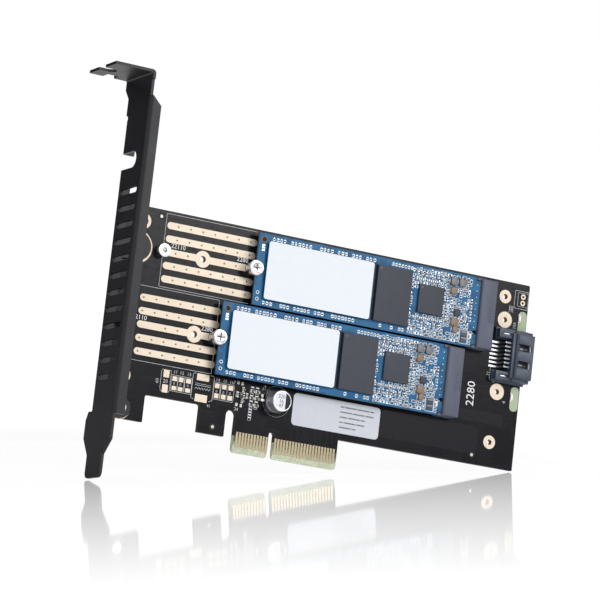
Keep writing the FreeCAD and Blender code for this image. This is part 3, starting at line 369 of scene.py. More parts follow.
@dataclass(frozen=True)
class Metal(Finish):
    """Bare or plated metal with drawn, rolled or rubbed marks.

    Attributes:
        run: The way that the marks run.
    """

    run: Run = Run.NONE

    def dress(self, graph: Graph) -> None:
        """Joins up a clouded plating and its marks."""
        marks = graph.noise(self.grain, 3.0, graph.mapped(self.run.value))
        graph.tint(self.plating(graph))
        self.shine(graph, marks)
        graph.relief(marks, self.depth)

    def plating(self, graph: Graph) -> bpy.types.NodeSocket:
        """The plating's clouded colour."""
        return graph.mix(graph.noise(self.grain * 9.0), self.colour, self.other)


@dataclass(frozen=True)
class PortContactTin(Metal):
    """Tin that is bright at the solder and darkened with painted shade inside the port.

    Attributes:
        dull_span: The places along the card between which the painted shade comes in.
        dull: The painted shade that the blades take inside the port.
    """

    dull_span: Pair = (73.8, 76.6)
    # painted shade of the blades inside the port
    dull: Colour = (0.13, 0.13, 0.14)

    def dress(self, graph: Graph) -> None:
        """Joins up the bright feet and the blades darkened with painted shade."""
        low, high = self.dull_span
        inside = graph.step(graph.axis("X"), low * MM, high * MM)
        graph.tint(graph.mix(inside, self.plating(graph), self.dull))
        self.shine(graph, graph.noise(self.grain, 3.0, graph.mapped(self.run.value)))


@dataclass(frozen=True)
class PowderCoat(Finish):
    """Baked powder with orange peel and a few bright specks."""

    def dress(self, graph: Graph) -> None:
        """Joins up the peel, the specks and a slow drift of the gloss."""
        speck = graph.step(graph.noise(self.grain * 0.35, 1.0), 0.62, 0.75)
        graph.tint(graph.mix(speck, self.colour, self.other))
        self.shine(graph, graph.noise(self.grain * 20.0))
        graph.relief(graph.noise(self.grain, 1.0), self.depth)


@dataclass(frozen=True)
class Moulding(Finish):
    """Glass-filled plastic: dark resin with short pale fibres just under its skin."""

    def dress(self, graph: Graph) -> None:
        """Joins up the fibres, the flow lines and the skin."""
        fibres = graph.step(graph.noise(0.16, 1.0, graph.mapped((1.0, 1.0, 3.0))), 0.60, 0.72)
        flow = graph.noise(2.5, 2.0, graph.mapped((1.0, 1.0, 0.3)))
        resin = graph.mix(flow, self.colour, darker(self.colour, 0.8))
        graph.tint(graph.mix(fibres, resin, self.other))
        fine = graph.noise(self.grain, 3.0)
        self.shine(graph, fine)
        graph.relief(fine, self.depth)


@dataclass(frozen=True)
class Ink(Finish):
    """Screen-printed ink, a little thin and uneven."""

    roughness: float = 0.6
    specular: float = 0.25
    depth: float = 0.004

    def dress(self, graph: Graph) -> None:
        """Joins up the thin patches and the dots of the screen."""
        graph.tint(graph.mix(graph.step(graph.noise(0.35, 3.0), 0.35, 0.75), self.colour, self.other))
        screen = graph.noise(0.12, 1.0)
        self.shine(graph, screen)
        graph.relief(screen, self.depth)


def darker(colour: Colour, share: float) -> Colour:
    """A colour brought down to a share of itself."""
    return tuple(share * c for c in colour)


MASK_BLACK = BoardMask("black solder mask", "board_mask", (0.0060, 0.0060, 0.0075), (0.010, 0.010, 0.013),
                       0.22, 0.06, specular=0.095, grain=0.25, depth=0.003)
MASK_OVER_COPPER = Finish("black mask over copper", "board_mask", (0.011, 0.011, 0.014),
                          (0.014, 0.014, 0.018), 0.22, 0.06, specular=0.105, grain=0.25, depth=0.003)
BARE_DARK = Finish("dark laminate", "board_mask", (0.016, 0.014, 0.012), (0.024, 0.021, 0.018),
                   0.6, 0.1, specular=0.2, grain=0.2, depth=0.006)
MASK_BLUE = BoardMask("blue solder mask", "module_mask", (0.010, 0.084, 0.200), (0.018, 0.142, 0.305),
                      0.34, 0.06, specular=0.16, grain=0.25, depth=0.004, edge=(0.05, 0.09, 0.10),
                      bare_top=-90.0, thickness=0.8, pour=4.0)
# painted shade for the gap between a module's label and its open flash chip
GAP_SHADE = Finish("painted shade in a gap", "module_mask", (0.003, 0.008, 0.022), (0.005, 0.014, 0.036),
                       0.40, 0.06, specular=0.2, grain=0.3, depth=0.004)
SAGE = Finish("bare laminate", "board_mask", (0.40, 0.47, 0.33), (0.34, 0.41, 0.28),
              0.6, 0.1, specular=0.3, grain=0.35, depth=0.008)
CONTACT_GOLD = Metal("contact gold", "gold", (0.275, 0.238, 0.158), (0.208, 0.175, 0.112),
                     0.34, 0.12, 0.9, grain=0.18, depth=0.003, run=Run.UP)
PAD_GOLD = Metal("pad gold", "gold", (0.66, 0.575, 0.47), (0.57, 0.48, 0.375),
                 0.50, 0.12, 0.40, grain=0.30, depth=0.012)
# dark brown with painted shade: the holes' walls and the strips' flat via discs
VIA_BROWN_AND_SHADE = Finish("via wall and painted hole shade", "gold", (0.14, 0.075, 0.035), (0.20, 0.11, 0.05), 0.5, 0.1, 0.3, grain=0.15)
POWDER = PowderCoat("black powder coat", "bracket_black", (0.0095, 0.0098, 0.0125), (0.020, 0.021, 0.028),
                    0.40, 0.10, specular=0.25, grain=0.30, depth=0.011)
NICKEL = Metal("nickel plate", "screw_steel", (0.74, 0.74, 0.76), (0.62, 0.62, 0.65),
               0.28, 0.12, 1.0, grain=0.20, depth=0.004)
# painted shade for the floor of a screw's cross recess
RECESS_SHADE = Metal("painted recess shade", "screw_steel", (0.10, 0.09, 0.09), (0.06, 0.055, 0.055),
                    0.5, 0.1, 0.6, grain=0.15, depth=0.006)
# painted shade: a grey ring where a screw's domed head turns from the light
DOME_SHADE_RING = Metal("painted dome shade", "screw_steel", (0.36, 0.36, 0.38), (0.26, 0.26, 0.28),
                  0.45, 0.12, 0.8, grain=0.15, depth=0.004)
STANDOFF = Metal("bright tin", "standoff_tin", (0.80, 0.80, 0.79), (0.70, 0.70, 0.70),
                 0.32, 0.12, 1.0, grain=0.22, depth=0.004)
TIN = Metal("matt tin", "tin", (0.72, 0.72, 0.73), (0.60, 0.60, 0.62),
            0.36, 0.16, 1.0, grain=0.18, depth=0.006, run=Run.ALONG)
# port contacts: painted shade darkens the blades inside the port
PORT_TIN = PortContactTin("port contact tin with painted shade", "tin", (0.58, 0.59, 0.62), (0.38, 0.39, 0.42),
                          0.36, 0.12, 1.0, grain=0.18, run=Run.ALONG)
SOLDER = Metal("solder", "tin", (0.74, 0.75, 0.76), (0.60, 0.61, 0.63),
               0.34, 0.14, 0.8, grain=0.12, depth=0.012)
DULL_TIN = Metal("dull tin", "tin", (0.46, 0.45, 0.41), (0.30, 0.29, 0.265),
                 0.42, 0.14, 0.6, grain=0.12, depth=0.010)
SOCKET = Moulding("socket moulding", "socket_black", (0.082, 0.092, 0.132), (0.12, 0.13, 0.175),
                  0.48, 0.12, specular=0.35, grain=0.22, depth=0.010)
# partly painted reflection: the dark moulding is lightened and blued as a pale sky's reflection shows on it
PORT_WITH_REFLECTION = Moulding("port moulding with painted reflection", "sata_black", (0.040, 0.054, 0.084), (0.062, 0.078, 0.114),
                0.42, 0.10, specular=0.42, grain=0.22, depth=0.008)
BASE_MOULDING = Moulding("capacitor base moulding", "sata_black", (0.016, 0.016, 0.020), (0.03, 0.03, 0.036),
                         0.45, 0.10, specular=0.4, grain=0.22, depth=0.008)
EPOXY = Moulding("chip epoxy", "chip_black", (0.044, 0.049, 0.066), (0.070, 0.075, 0.091),
                 0.58, 0.10, specular=0.32, grain=0.16, depth=0.012)
EPOXY_MARK = Finish("polished epoxy", "chip_black", (0.040, 0.043, 0.052), (0.046, 0.049, 0.058),
                    0.34, 0.06, grain=0.2, depth=0.002)
PAPER = Finish("bare module label", "label_white", (0.745, 0.785, 0.83), (0.72, 0.76, 0.81),
               0.55, 0.10, specular=0.2, grain=0.20, depth=0.010)
CARD_PAPER = Finish("bare card label", "label_white", (0.565, 0.58, 0.635), (0.53, 0.55, 0.605),
                    0.50, 0.10, specular=0.25, grain=0.20, depth=0.010)
LABEL_GREY = Ink("grey label print", "label_white", (0.16, 0.16, 0.18), (0.30, 0.30, 0.33),
                 specular=0.5, depth=0.003)
FERRITE = Moulding("pressed iron powder", "inductor_grey", (0.16, 0.165, 0.18), (0.30, 0.31, 0.33),
                   0.50, 0.12, metallic=0.3, grain=0.14, depth=0.016)
RESIN = Moulding("brown resin", "capacitor_tan", (0.21, 0.145, 0.10), (0.36, 0.27, 0.19),
                 0.45, 0.10, grain=0.18, depth=0.010)
CERAMIC_TAN = Finish("tan ceramic", "passive_ceramic", (0.30, 0.21, 0.14), (0.22, 0.15, 0.095),
                     0.42, 0.08, grain=0.12, depth=0.006)
CERAMIC_GREY = Finish("grey ceramic", "passive_ceramic", (0.22, 0.205, 0.19), (0.16, 0.15, 0.14),
                      0.42, 0.08, grain=0.12, depth=0.006)
CERAMIC_DARK = Finish("dark glaze", "passive_ceramic", (0.014, 0.014, 0.018), (0.022, 0.022, 0.027),
                      0.30, 0.08, grain=0.12, depth=0.004)
CAN = Metal("drawn aluminium", "can_aluminium", (0.70, 0.71, 0.75), (0.60, 0.61, 0.66),
            0.30, 0.10, 0.75, grain=0.16, depth=0.004)
CAN_TOP = Finish("coated can top", "can_aluminium", (0.74, 0.755, 0.81), (0.69, 0.705, 0.76),
                 0.46, 0.08, specular=0.2, grain=0.25, depth=0.004)
CAN_INK = Ink("dark can ink", "can_aluminium", (0.010, 0.010, 0.016), (0.018, 0.018, 0.026), 0.5,
              specular=0.2, depth=0.003)
LAMP = Finish("clear lamp resin", "led_white", (0.90, 0.89, 0.84), (0.86, 0.84, 0.74),
              0.22, 0.06, grain=0.25, depth=0.004)
SILK = Ink("white silk print", "board_mask", (0.60, 0.61, 0.63), (0.36, 0.37, 0.39))
SILK_MODULE = Ink("module silk print", "module_mask", (0.80, 0.87, 0.92), (0.50, 0.62, 0.74))
SILK_BRIGHT = Ink("bright silk print", "board_mask", (0.86, 0.86, 0.88), (0.70, 0.70, 0.72))
SILK_FINE = Ink("thin silk print", "board_mask", (0.30, 0.31, 0.33), (0.17, 0.175, 0.185))
DARK_CARD = Finish("dark card", "", (0.02, 0.02, 0.02), (0.03, 0.03, 0.03), 0.9, specular=0.0, grain=20.0)


# ----------------------------------------------------------------------------------------------------------
# Shapes
# ----------------------------------------------------------------------------------------------------------


def finished(piece: bpy.types.Object, finishes: Sequence[Finish],
             nodes: Sequence[str] = ()) -> bpy.types.Object:
    """Puts a new piece on the card: its materials, its body and the nodes that it stands for.

    Args:
        piece: The object, already in place.
        finishes: Its finishes, in the order of its faces' material numbers.
        nodes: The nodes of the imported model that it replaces.

    Returns:
        The same object.
    """
    for finish in finishes:
        piece.data.materials.append(finish.material())
    if nodes:
        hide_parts(*nodes)
    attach(piece, "root")
    LOG.info("%s: %d faces", piece.name, len(piece.data.polygons))
    return piece


def dressed(node: str, finish: Finish) -> None:
    """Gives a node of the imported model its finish, its shape being right as it is."""
    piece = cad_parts[node]
    piece.data.materials.clear()
    piece.data.materials.append(finish.material())
    LOG.info("%s: dressed in %s", node, finish.name)


def linked(shape: bmesh.types.BMesh, name: str) -> bpy.types.Object:
    """Turns a finished bmesh, in metres, into an object in the scene, and frees the bmesh."""
    mesh = bpy.data.meshes.new(name)
    shape.to_mesh(mesh)
    shape.free()
    piece = bpy.data.objects.new(name, mesh)
    bpy.context.scene.collection.objects.link(piece)
    return piece


def smoothed(shape: bmesh.types.BMesh, name: str) -> bpy.types.Object:
    """The same as linked, with faces that meet nearly flat shaded as one surface."""
    piece = linked(shape, name)
    piece.data.shade_smooth()
    piece.data.set_sharp_from_angle(angle=math.radians(SMOOTH_ANGLE))
    return piece


def bevelled(shape: bmesh.types.BMesh, edges: Sequence[bmesh.types.BMEdge], width: float, rings: int) -> None:
    """Breaks or rounds some edges of a shape.

    Args:
        shape: The shape.
        edges: The edges.
        width: How wide the bevel is, in the shape's own units.
        rings: How many faces go round an edge.
    """
    bmesh.ops.bevel(shape, geom=edges, offset=width, offset_type="OFFSET", segments=rings,
                    profile=0.5, affect="EDGES", clamp_overlap=True, material=-1)


def merged(node: str) -> bmesh.types.BMesh:
    """A copy of a node's mesh with its loose triangles joined and its flat faces made whole."""
    shape = bmesh.new()
    shape.from_mesh(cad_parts[node].data)
    bmesh.ops.remove_doubles(shape, verts=shape.verts[:], dist=WELD * MM)
    bmesh.ops.dissolve_limit(shape, angle_limit=math.radians(1.0), verts=shape.verts[:], edges=shape.edges[:])
    return shape


def solids_of(node: str) -> list[tuple[Vector, Vector]]:
    """The boxes of a node's separate solids, in millimetres, in order along and up the card."""
    shape = merged(node)
    waiting = set(shape.verts)
    boxes = []
    while waiting:
        reached = [waiting.pop()]
        solid = list(reached)
        while reached:
            for edge in reached.pop().link_edges:
                for corner in waiting.intersection(edge.verts):
                    waiting.remove(corner)
                    reached.append(corner)
                    solid.append(corner)
        boxes.append(tuple(Vector([end(v.co[i] for v in solid) / MM for i in range(3)])
                           for end in (min, max)))
    shape.free()
    return sorted(boxes, key=lambda b: (round(b[0].x, 2), round(b[0].z, 2), round(b[0].y, 2)))


def softened(node: str, finish: Finish, edge: float = 0.08, rings: int = 2) -> None:
    """Stands in for a node with the same shape, its sharp edges broken as a moulded or cut part's are.

    Args:
        node: The node to copy and replace.
        finish: The finish of the whole piece.
        edge: Width of the broken edge in millimetres.
        rings: How many faces go round an edge.
    """
    shape = merged(node)
    limit = math.radians(BREAK_ANGLE)
    edges = [e for e in shape.edges if len(e.link_faces) == 2 and e.calc_face_angle(0.0) > limit]
    bevelled(shape, edges, edge * MM, rings)
    finished(smoothed(shape, node + "_piece"), [finish], [node])


class Shape:
    """A piece in the making: blocks, turned parts, strokes and figures gathered into one mesh."""

    def __init__(self, name: str, side: Side = Side.FRONT, base: float = 0.0) -> None:
        """Starts an empty piece.

        Args:
            name: The piece's name.
            side: The face of the board that rises are counted from.
            base: A height that is added to every rise.
        """
        self.name = name
        self.side = side
        self.base = base
        self.whole = bmesh.new()
        self.finishes: list[Finish] = []
        self.carrier = bpy.data.meshes.new(name + "_carrier")

    def take(self, part: bmesh.types.BMesh, finish: Finish, place: Matrix) -> None:
        """Adds a part to the piece.

        Args:
            part: The part, in millimetres about its own middle. It is freed.
            finish: Its finish.
            place: Where it goes.
        """
        if finish not in self.finishes:
            self.finishes.append(finish)
        number = self.finishes.index(finish)
        for face in part.faces:
            face.material_index = number
        bmesh.ops.transform(part, matrix=place, verts=part.verts[:])
        bmesh.ops.recalc_face_normals(part, faces=part.faces[:])
        part.to_mesh(self.carrier)
        part.free()
        self.whole.from_mesh(self.carrier)

    def level(self, rise: float) -> float:
        """Where a rise lies across the board, in millimetres."""
        return self.side.height(self.base + rise)

    def block(self, along: Pair, rise: Pair, up: Pair, finish: Finish, edge: float = 0.0, corner: float = 0.0,
              turn: float = 0.0, rings: int = 2) -> None:
        """A block, its edges broken and its upright corners rounded where asked.

        Args:
            along: Its ends along the card.
            rise: Its lowest and highest rise.
            up: Its lower and upper end.
            finish: Its finish.
            edge: Width of its broken edges.
            corner: Radius of its four corners seen from the face.
            turn: Turn about the line through its middle, in degrees.
            rings: How many faces go round a broken edge.
        """
        part = bmesh.new()
        bmesh.ops.create_cube(part, size=1.0)
        size = (abs(along[1] - along[0]), abs(rise[1] - rise[0]), abs(up[1] - up[0]))
        bmesh.ops.scale(part, vec=size, verts=part.verts[:])
        if corner > 0.0:
            posts = [e for e in part.edges if abs(e.verts[0].co.y - e.verts[1].co.y) > 0.5 * size[1]]
            bevelled(part, posts, corner, 4)
        if edge > 0.0:
            bevelled(part, [e for e in part.edges if e.calc_face_angle(0.0) > 0.9], edge, rings)
        middle = Vector(((along[0] + along[1]) / 2.0, self.level((rise[0] + rise[1]) / 2.0),
                         (up[0] + up[1]) / 2.0))
        self.take(part, finish, Matrix.Translation(middle) @ Matrix.Rotation(math.radians(turn), 4, "Y"))

    def tile(self, place: Pair, size: Pair, rise: Pair, finish: Finish, edge: float = 0.0,
             corner: float = 0.0, rings: int = 2) -> None:
        """A block told by its lower left corner and its size; the rest is as for block."""
        left, low = place
        self.block((left, left + size[0]), rise, (low, low + size[1]), finish, edge, corner, rings=rings)

    def stroke(self, start: Pair, end: Pair, width: float, finish: Finish, top: float = PRINT) -> None:
        """A straight printed line from one place on the face to another."""
        run = Vector((end[0] - start[0], end[1] - start[1]))
        length = run.length + width
        middle = ((start[0] + end[0]) / 2.0, (start[1] + end[1]) / 2.0)
        turn = -math.degrees(math.atan2(run.y, run.x))
        self.block((middle[0] - length / 2.0, middle[0] + length / 2.0), (0.0, top),
                   (middle[1] - width / 2.0, middle[1] + width / 2.0), finish, turn=turn)

    def path(self, places: Sequence[Pair], width: float, finish: Finish, top: float = PRINT) -> None:
        """A printed line through several places."""
        for start, end in zip(places, places[1:]):
            self.stroke(start, end, width, finish, top)

    def frame_of(self, along: Pair, up: Pair, width: float, finish: Finish, top: float = PRINT) -> None:
        """A printed rectangle."""
        (left, right), (low, high) = along, up
        self.path([(left, low), (right, low), (right, high), (left, high), (left, low)], width, finish, top)

    def turned(self, profile: Sequence[Pair], place: Pair, finish: Finish, steps: int = 24) -> None:
        """A part turned about a line across the board.

        Args:
            profile: Radius and rise of each point of its outline; its two ends may lie on the line.
            place: Where the line stands, along and up the card.
            finish: Its finish.
            steps: How many faces go round it.
        """
        part = bmesh.new()
        points = [part.verts.new((radius, self.side.value * rise, 0.0)) for radius, rise in profile]
        for first, second in zip(points, points[1:]):
            part.edges.new((first, second))
        if profile[0][0] > 0.0 and profile[-1][0] > 0.0:
            part.edges.new((points[-1], points[0]))
        bmesh.ops.spin(part, geom=part.verts[:] + part.edges[:], cent=(0.0, 0.0, 0.0), axis=(0.0, 1.0, 0.0),
                       angle=2.0 * math.pi, steps=steps, use_merge=True, use_duplicate=False)
        bmesh.ops.remove_doubles(part, verts=part.verts[:], dist=WELD)
        self.take(part, finish, Matrix.Translation((place[0], self.level(0.0), place[1])))

    def dot(self, place: Pair, radius: float, finish: Finish, rise: Pair = (0.0, PRINT),
            steps: int = 12) -> None:
        """A flat round spot."""
        self.ring(place, 0.0, radius, finish, rise, steps)

    def ring(self, place: Pair, hole: float, radius: float, finish: Finish, rise: Pair = (0.0, PRINT),
             steps: int = 20) -> None:
        """A flat ring."""
        low, high = rise
        self.turned([(hole, low), (radius, low), (radius, high), (hole, high)], place, finish, steps)

    def figures(self, text: str, place: Pair, height: float, finish: Finish, turn: float = 0.0,
                top: float = PRINT) -> None:
        """Plain numbers printed on the face, their lower left corner at a place.

        Args:
            text: The numbers.
            place: Where they start, along and up the card.
            height: How tall a figure is.
            finish: Their finish.
            turn: Turn against the clock as the face is looked at, in degrees.
            top: How far the print stands up.
        """
        curve = bpy.data.curves.new(self.name + "_figures", "FONT")
        curve.body = text
        curve.size = height / FIGURE_SHARE
        curve.extrude = top / 2.0
        curve.resolution_u = 2
        carrier = bpy.data.objects.new(self.name + "_figures", curve)
        mesh = bpy.data.meshes.new_from_object(carrier)
        part = bmesh.new()
        part.from_mesh(mesh)
        bmesh.ops.remove_doubles(part, verts=part.verts[:], dist=2.0 * WELD)
        bpy.data.objects.remove(carrier)
        bpy.data.curves.remove(curve)
        bpy.data.meshes.remove(mesh)
        flip = Matrix.Rotation(math.pi if self.side is Side.BACK else 0.0, 4, "Z")
        spin = Matrix.Rotation(math.radians(-turn), 4, "Y")
        stand = Matrix.Rotation(math.pi / 2.0, 4, "X")
        spot = Matrix.Translation((place[0], self.level(top / 2.0), place[1]))
        self.take(part, finish, spot @ flip @ spin @ stand)

    def done(self, nodes: Sequence[str] = ()) -> None:
        """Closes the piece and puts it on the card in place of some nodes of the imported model, or of none."""
        bmesh.ops.scale(self.whole, vec=(MM, MM, MM), verts=self.whole.verts[:])
        bpy.data.meshes.remove(self.carrier)
        finished(smoothed(self.whole, self.name), self.finishes, nodes)


# ----------------------------------------------------------------------------------------------------------
# The card
# ----------------------------------------------------------------------------------------------------------


@dataclass
class MainBoard:
    """The bare card: mask, strips, rings, contacts and everything that is printed or plated on it.

    Attributes:
        line: Width of a printed line.
        strip_rows: Heights of the two middle strips.
        strip_hole: Where the hole of a middle strip stands along the card.
        strip_pitch: From one strip's middle to the next.
        upper_vias: Where the vias of the upper strips stand along the card.
        lower_vias: The same for the lower strips.
        via: Radius of a via.
        lane: Width of a track under the mask.
    """

    line: float = 0.13
    strip_rows: Pair = (55.41, 32.75)
    strip_hole: float = -29.4
    strip_pitch: float = 4.02
    upper_vias: tuple[float, ...] = (-38.5, -34.4, -30.3, -26.3, -22.2, -18.3, -14.2)
    lower_vias: tuple[float, ...] = (-47.1, -43.0, -39.0, -35.0, -30.8, -26.9)
    via: float = 0.30
    lane: float = 0.24

    def build(self) -> None:
        """Makes everything that belongs to the bare card."""
        dressed("main_board", MASK_BLACK)
        dressed("edge_contacts", CONTACT_GOLD)
        for node in ("heat_strips_upper", "heat_strips_lower", "plated_pads", "mounting_pads"):
            dressed(node, PAD_GOLD)
        self.buried_copper()
        self.strip_vias()
        self.hole_walls()
        self.outlines()
        self.converter_footprints()
        self.small_footprints()
        self.right_end()
        self.sights()
        self.windows()
        self.back_face()

    def holes(self) -> list[tuple[Pair, float, float]]:
        """The drilled and plated holes, each with its place, its radius and that of its ring behind."""
        kinds = ((1.0, 1.9, [(self.strip_hole, row) for row in self.strip_rows]),
                 (0.85, 1.7, [(75.8, 62.9), (76.45, 55.65), (76.2, 32.85), (75.3, 16.9)]),
                 (0.40, 0.75, [(82.3, 61.85), (82.3, 63.85)]),
                 (1.5, 2.3, [(-50.0, 63.3), (-50.8, 17.0)]))
        return [(place, hole, ring) for hole, ring, places in kinds for place in places]

    def buried_copper(self) -> None:
        """Copper that shows under the mask: pours at the lower right and the lanes up from the tongue."""
        shape = Shape("buried_copper")
        shape.block((36.0, 71.0), MASK, (12.4, 21.0), MASK_OVER_COPPER, corner=2.2)
        shape.block((63.5, 79.5), MASK, (22.4, 26.0), MASK_OVER_COPPER, corner=1.0)
        for lane in range(8):
            start, turn = 6.5 + 2.0 * lane, 12.5 + 0.5 * lane
            shape.path([(start, 7.0), (start, turn), (start + 14.0, turn + 9.0), (57.0, turn + 9.0)],
                       self.lane, MASK_OVER_COPPER, MASK[1])
        for lane in range(4):
            shape.path([(-56.5 + lane, 20.0), (-56.5 + lane, 40.0 + lane), (-53.0, 43.5 + lane)],
                       0.30, MASK_OVER_COPPER, MASK[1])
        shape.done()

    def strip_vias(self) -> None:
        """The vias of the heat strips: a thin rim round a flat brown disc of painted shade where the open hole
        would look dark.
        """
        shape = Shape("strip_vias", base=PAD[1])
        for row in range(-2, 3):
            for height, places in zip(self.strip_rows, (self.upper_vias, self.lower_vias)):
                for along in places:
                    if row == 0 and (abs(along - self.strip_hole) < 3.2 or along < -39.0):
                        continue
                    place = (along, height + row * self.strip_pitch)
                    shape.ring(place, self.via, self.via + 0.09, PAD_GOLD, steps=10)
                    # painted shade: a flat brown disc in the via's middle
                    shape.dot(place, self.via, VIA_BROWN_AND_SHADE, (0.0, 0.01), 10)
        shape.done()

    def hole_walls(self) -> None:
        """The plated walls of the drilled holes, from one face through to the other, dark brown with painted
        shade of the holes' depth.
        """
        shape = Shape("hole_walls")
        outline = ((0.01, 0.045), (-0.03, 0.045), (-0.03, -1.645), (0.01, -1.645))
        for place, radius, _ in self.holes():
            shape.turned([(radius + out, rise) for out, rise in outline], place, VIA_BROWN_AND_SHADE, 28)
        shape.done()

    def outlines(self) -> None:
        """The printed outlines round the two module places, with their size numbers."""
        shape = Shape("module_outlines")
        shape.path([(-12.2, 66.9), (-42.7, 66.9), (-42.7, 44.9), (-12.8, 44.9)], self.line, SILK)
        shape.path([(-48.5, 44.25), (-22.3, 44.25), (-22.3, 21.95), (-48.6, 21.95)], self.line, SILK)
        for text, place in (("22110", (-40.2, 57.0)), ("2280", (-18.2, 57.05)), ("22110", (-50.1, 34.1)),
                            ("2280", (-27.3, 34.35))):
            shape.figures(text, place, 1.35, SILK_BRIGHT)
        shape.done()

    def bare_row(self, shape: Shape, columns: Sequence[Pair], low: Pair, high: Pair, line: Pair,
                 rows: Pair) -> None:
        """A row of unfitted places, each two pads one above the other, with printed lines all round.

        Args:
            shape: The piece that takes them.
            columns: Each place's ends along the card.
            low: The lower pads' ends up the card.
            high: The upper pads' ends up the card.
            line: The ends along the card of the lines above and below.
            rows: The heights of those two lines.
        """
        for along in columns:
            for up in (low, high):
                shape.block(along, PAD, up, PAD_GOLD, corner=0.12)
            for side in (along[0] - 0.35, along[1] + 0.35):
                shape.stroke((side, low[0]), (side, high[1]), 0.14, SILK)
        for up in rows:
            shape.stroke((line[0], up), (line[1], up - 0.05), self.line, SILK)

    def converter_footprints(self) -> None:
        """The unfitted voltage converter below the lower module: its capacitors and its coil."""
        shape = Shape("converter_pads")
        for up in ((18.5, 20.8), (14.0, 16.4)):
            shape.block((-37.8, -35.9), PAD, up, PAD_GOLD, corner=0.15)
        for end, side in ((-38.1, -38.5), (-35.6, -35.3)):
            shape.path([(end, 20.9), (side, 20.3), (side, 15.0), (end, 14.3)], self.line, SILK)
        shape.figures("20", (-37.75, 16.85), 1.15, SILK)
        self.bare_row(shape, ((-34.7, -33.2), (-32.6, -31.1), (-30.2, -28.6)), (15.2, 16.4), (17.9, 19.3),
                      (-35.0, -28.3), (14.85, 19.65))
        self.coil_footprint(shape)
        self.bare_row(shape, ((-20.6, -19.1), (-18.2, -16.75), (-16.1, -14.5)), (15.1, 16.5), (18.1, 19.5),
                      (-20.9, -14.3), (14.75, 19.85))
        for number, along in enumerate((-34.6, -32.5, -30.1, -20.5, -18.1, -15.9)):
            shape.figures(str(11 + number), (along, 20.15), 0.95, SILK)
        for along in (-34.35, -32.2, -29.8, -20.2, -17.9, -15.7):
            shape.figures("0", (along, 16.75), 0.85, SILK)
        shape.figures("60", (-39.2, 16.4), 1.0, SILK, turn=90.0)
        shape.figures("41", (-22.6, 12.0), 0.85, SILK)
        shape.done()

    def coil_footprint(self, shape: Shape) -> None:
        """The coil's two wide pads between printed brackets, with its winding sign."""
        for up in ((19.45, 21.45), (13.1, 15.35)):
            shape.block((-26.8, -22.75), PAD, up, PAD_GOLD, corner=0.15)
        for bracket in ([(-27.2, 21.4), (-27.8, 21.4), (-28.1, 21.0), (-28.1, 14.0), (-27.3, 13.7)],
                        [(-22.3, 21.4), (-21.4, 21.4), (-21.05, 21.0), (-21.05, 14.1), (-22.2, 13.6)],
                        [(-27.1 + 0.46 * i, 16.75 + 0.62 * (i % 2)) for i in range(12)],
                        [(-27.1, 18.0), (-22.0, 17.9)]):
            shape.path(bracket, self.line, SILK)
        shape.path([(-27.1, 18.5), (-22.0, 18.4)], 0.10, SILK)

    def small_footprints(self) -> None:
        """The crowd of small places between the converter and the round capacitor."""
        shape = Shape("control_pads")
        for along, up in ((-13.0, 20.9), (-11.6, 20.8), (-12.9, 14.3), (-11.4, 14.2), (-4.6, 17.1),
                          (-4.6, 18.3)):
            shape.block((along - 0.38, along + 0.38), (0.0, 0.12), (up - 0.50, up + 0.50), DULL_TIN,
                        corner=0.2)
        shape.block((-12.35, -11.05), (0.0, 0.62), (16.35, 18.15), CERAMIC_DARK, edge=0.08)
        for side in (-12.6, -10.8):
            for pin in range(3):
                shape.block((side - 0.3, side + 0.3), (0.0, 0.18), (16.45 + 0.68 * pin, 16.75 + 0.68 * pin),
                            TIN, edge=0.04)
        for along, count in ((-8.4, 12), (-6.7, 8)):
            for step in range(count):
                up = 20.3 - 0.83 * step
                shape.stroke((along, up), (along + 0.6, up - 0.05), 0.34, SILK_BRIGHT)
        for along, low in ((-8.1, 10.3), (-6.4, 13.9)):
            shape.frame_of((along - 0.5, along + 0.5), (low, 20.5), 0.10, SILK)
        for text, place in (("24", (-13.5, 12.5)), ("31", (-4.9, 20.0)), ("7", (-14.6, 20.3))):
            shape.figures(text, place, 0.95, SILK)
        for step in range(4):
            shape.figures(str(5 + step), (-10.35, 18.9 - 1.15 * step), 0.8, SILK, turn=90.0)
        shape.ring((0.3, 17.3), 4.56, 4.66, SILK_FINE, steps=48)
        shape.stroke((-4.3, 21.2), (-3.5, 21.2), 0.16, SILK)
        shape.stroke((-3.9, 20.8), (-3.9, 21.6), 0.16, SILK)
        shape.done()

    def right_end(self) -> None:
        """Prints round the spare header, the lamps and the port."""
        shape = Shape("right_end_prints")
        shape.frame_of((79.3, 84.15), (59.95, 65.55), self.line, SILK)
        shape.path([(84.0, 65.0), (80.45, 65.0), (80.45, 60.7), (84.0, 60.7)], 0.10, SILK)
        shape.path([(73.0, 40.1), (73.0, 36.4), (74.7, 35.5)], self.line, SILK)
        for text, place, height in (("71", (72.9, 37.3), 1.0), ("103", (80.6, 53.3), 1.0),
                                    ("4", (79.6, 29.6), 1.1)):
            shape.figures(text, place, height, SILK, turn=90.0)
        for row in range(3):
            shape.stroke((77.6, 60.3 - 0.55 * row), (79.0, 60.2 - 0.55 * row), 0.16, SILK)
        for along in (77.7, 78.4, 79.0):
            shape.stroke((along, 58.4), (along, 60.3), 0.12, SILK)
        shape.figures("2280", (68.2, 26.9), 2.75, SILK_BRIGHT, turn=90.0)
        shape.done()

    def sights(self) -> None:
        """The three round sights for the placing machine, bright in a bare dark window."""
        shape = Shape("placing_sights")
        for place in ((-44.4, 65.7), (-19.9, 6.5), (69.5, 12.1)):
            shape.dot(place, 0.50, DULL_TIN, (0.0, 0.04), 20)
            shape.ring(place, 0.50, 1.0, BARE_DARK, (0.0, 0.015), 24)
        shape.done()

    def windows(self) -> None:
        """The bare windows in the mask beside the lamps, each with its round ends."""
        shape = Shape("mask_windows")
        for along, up in (((81.3, 84.25), (52.0, 59.2)), ((81.2, 84.15), (27.7, 35.3))):
            shape.block(along, (0.0, 0.035), up, SAGE, corner=1.3)
        shape.done()

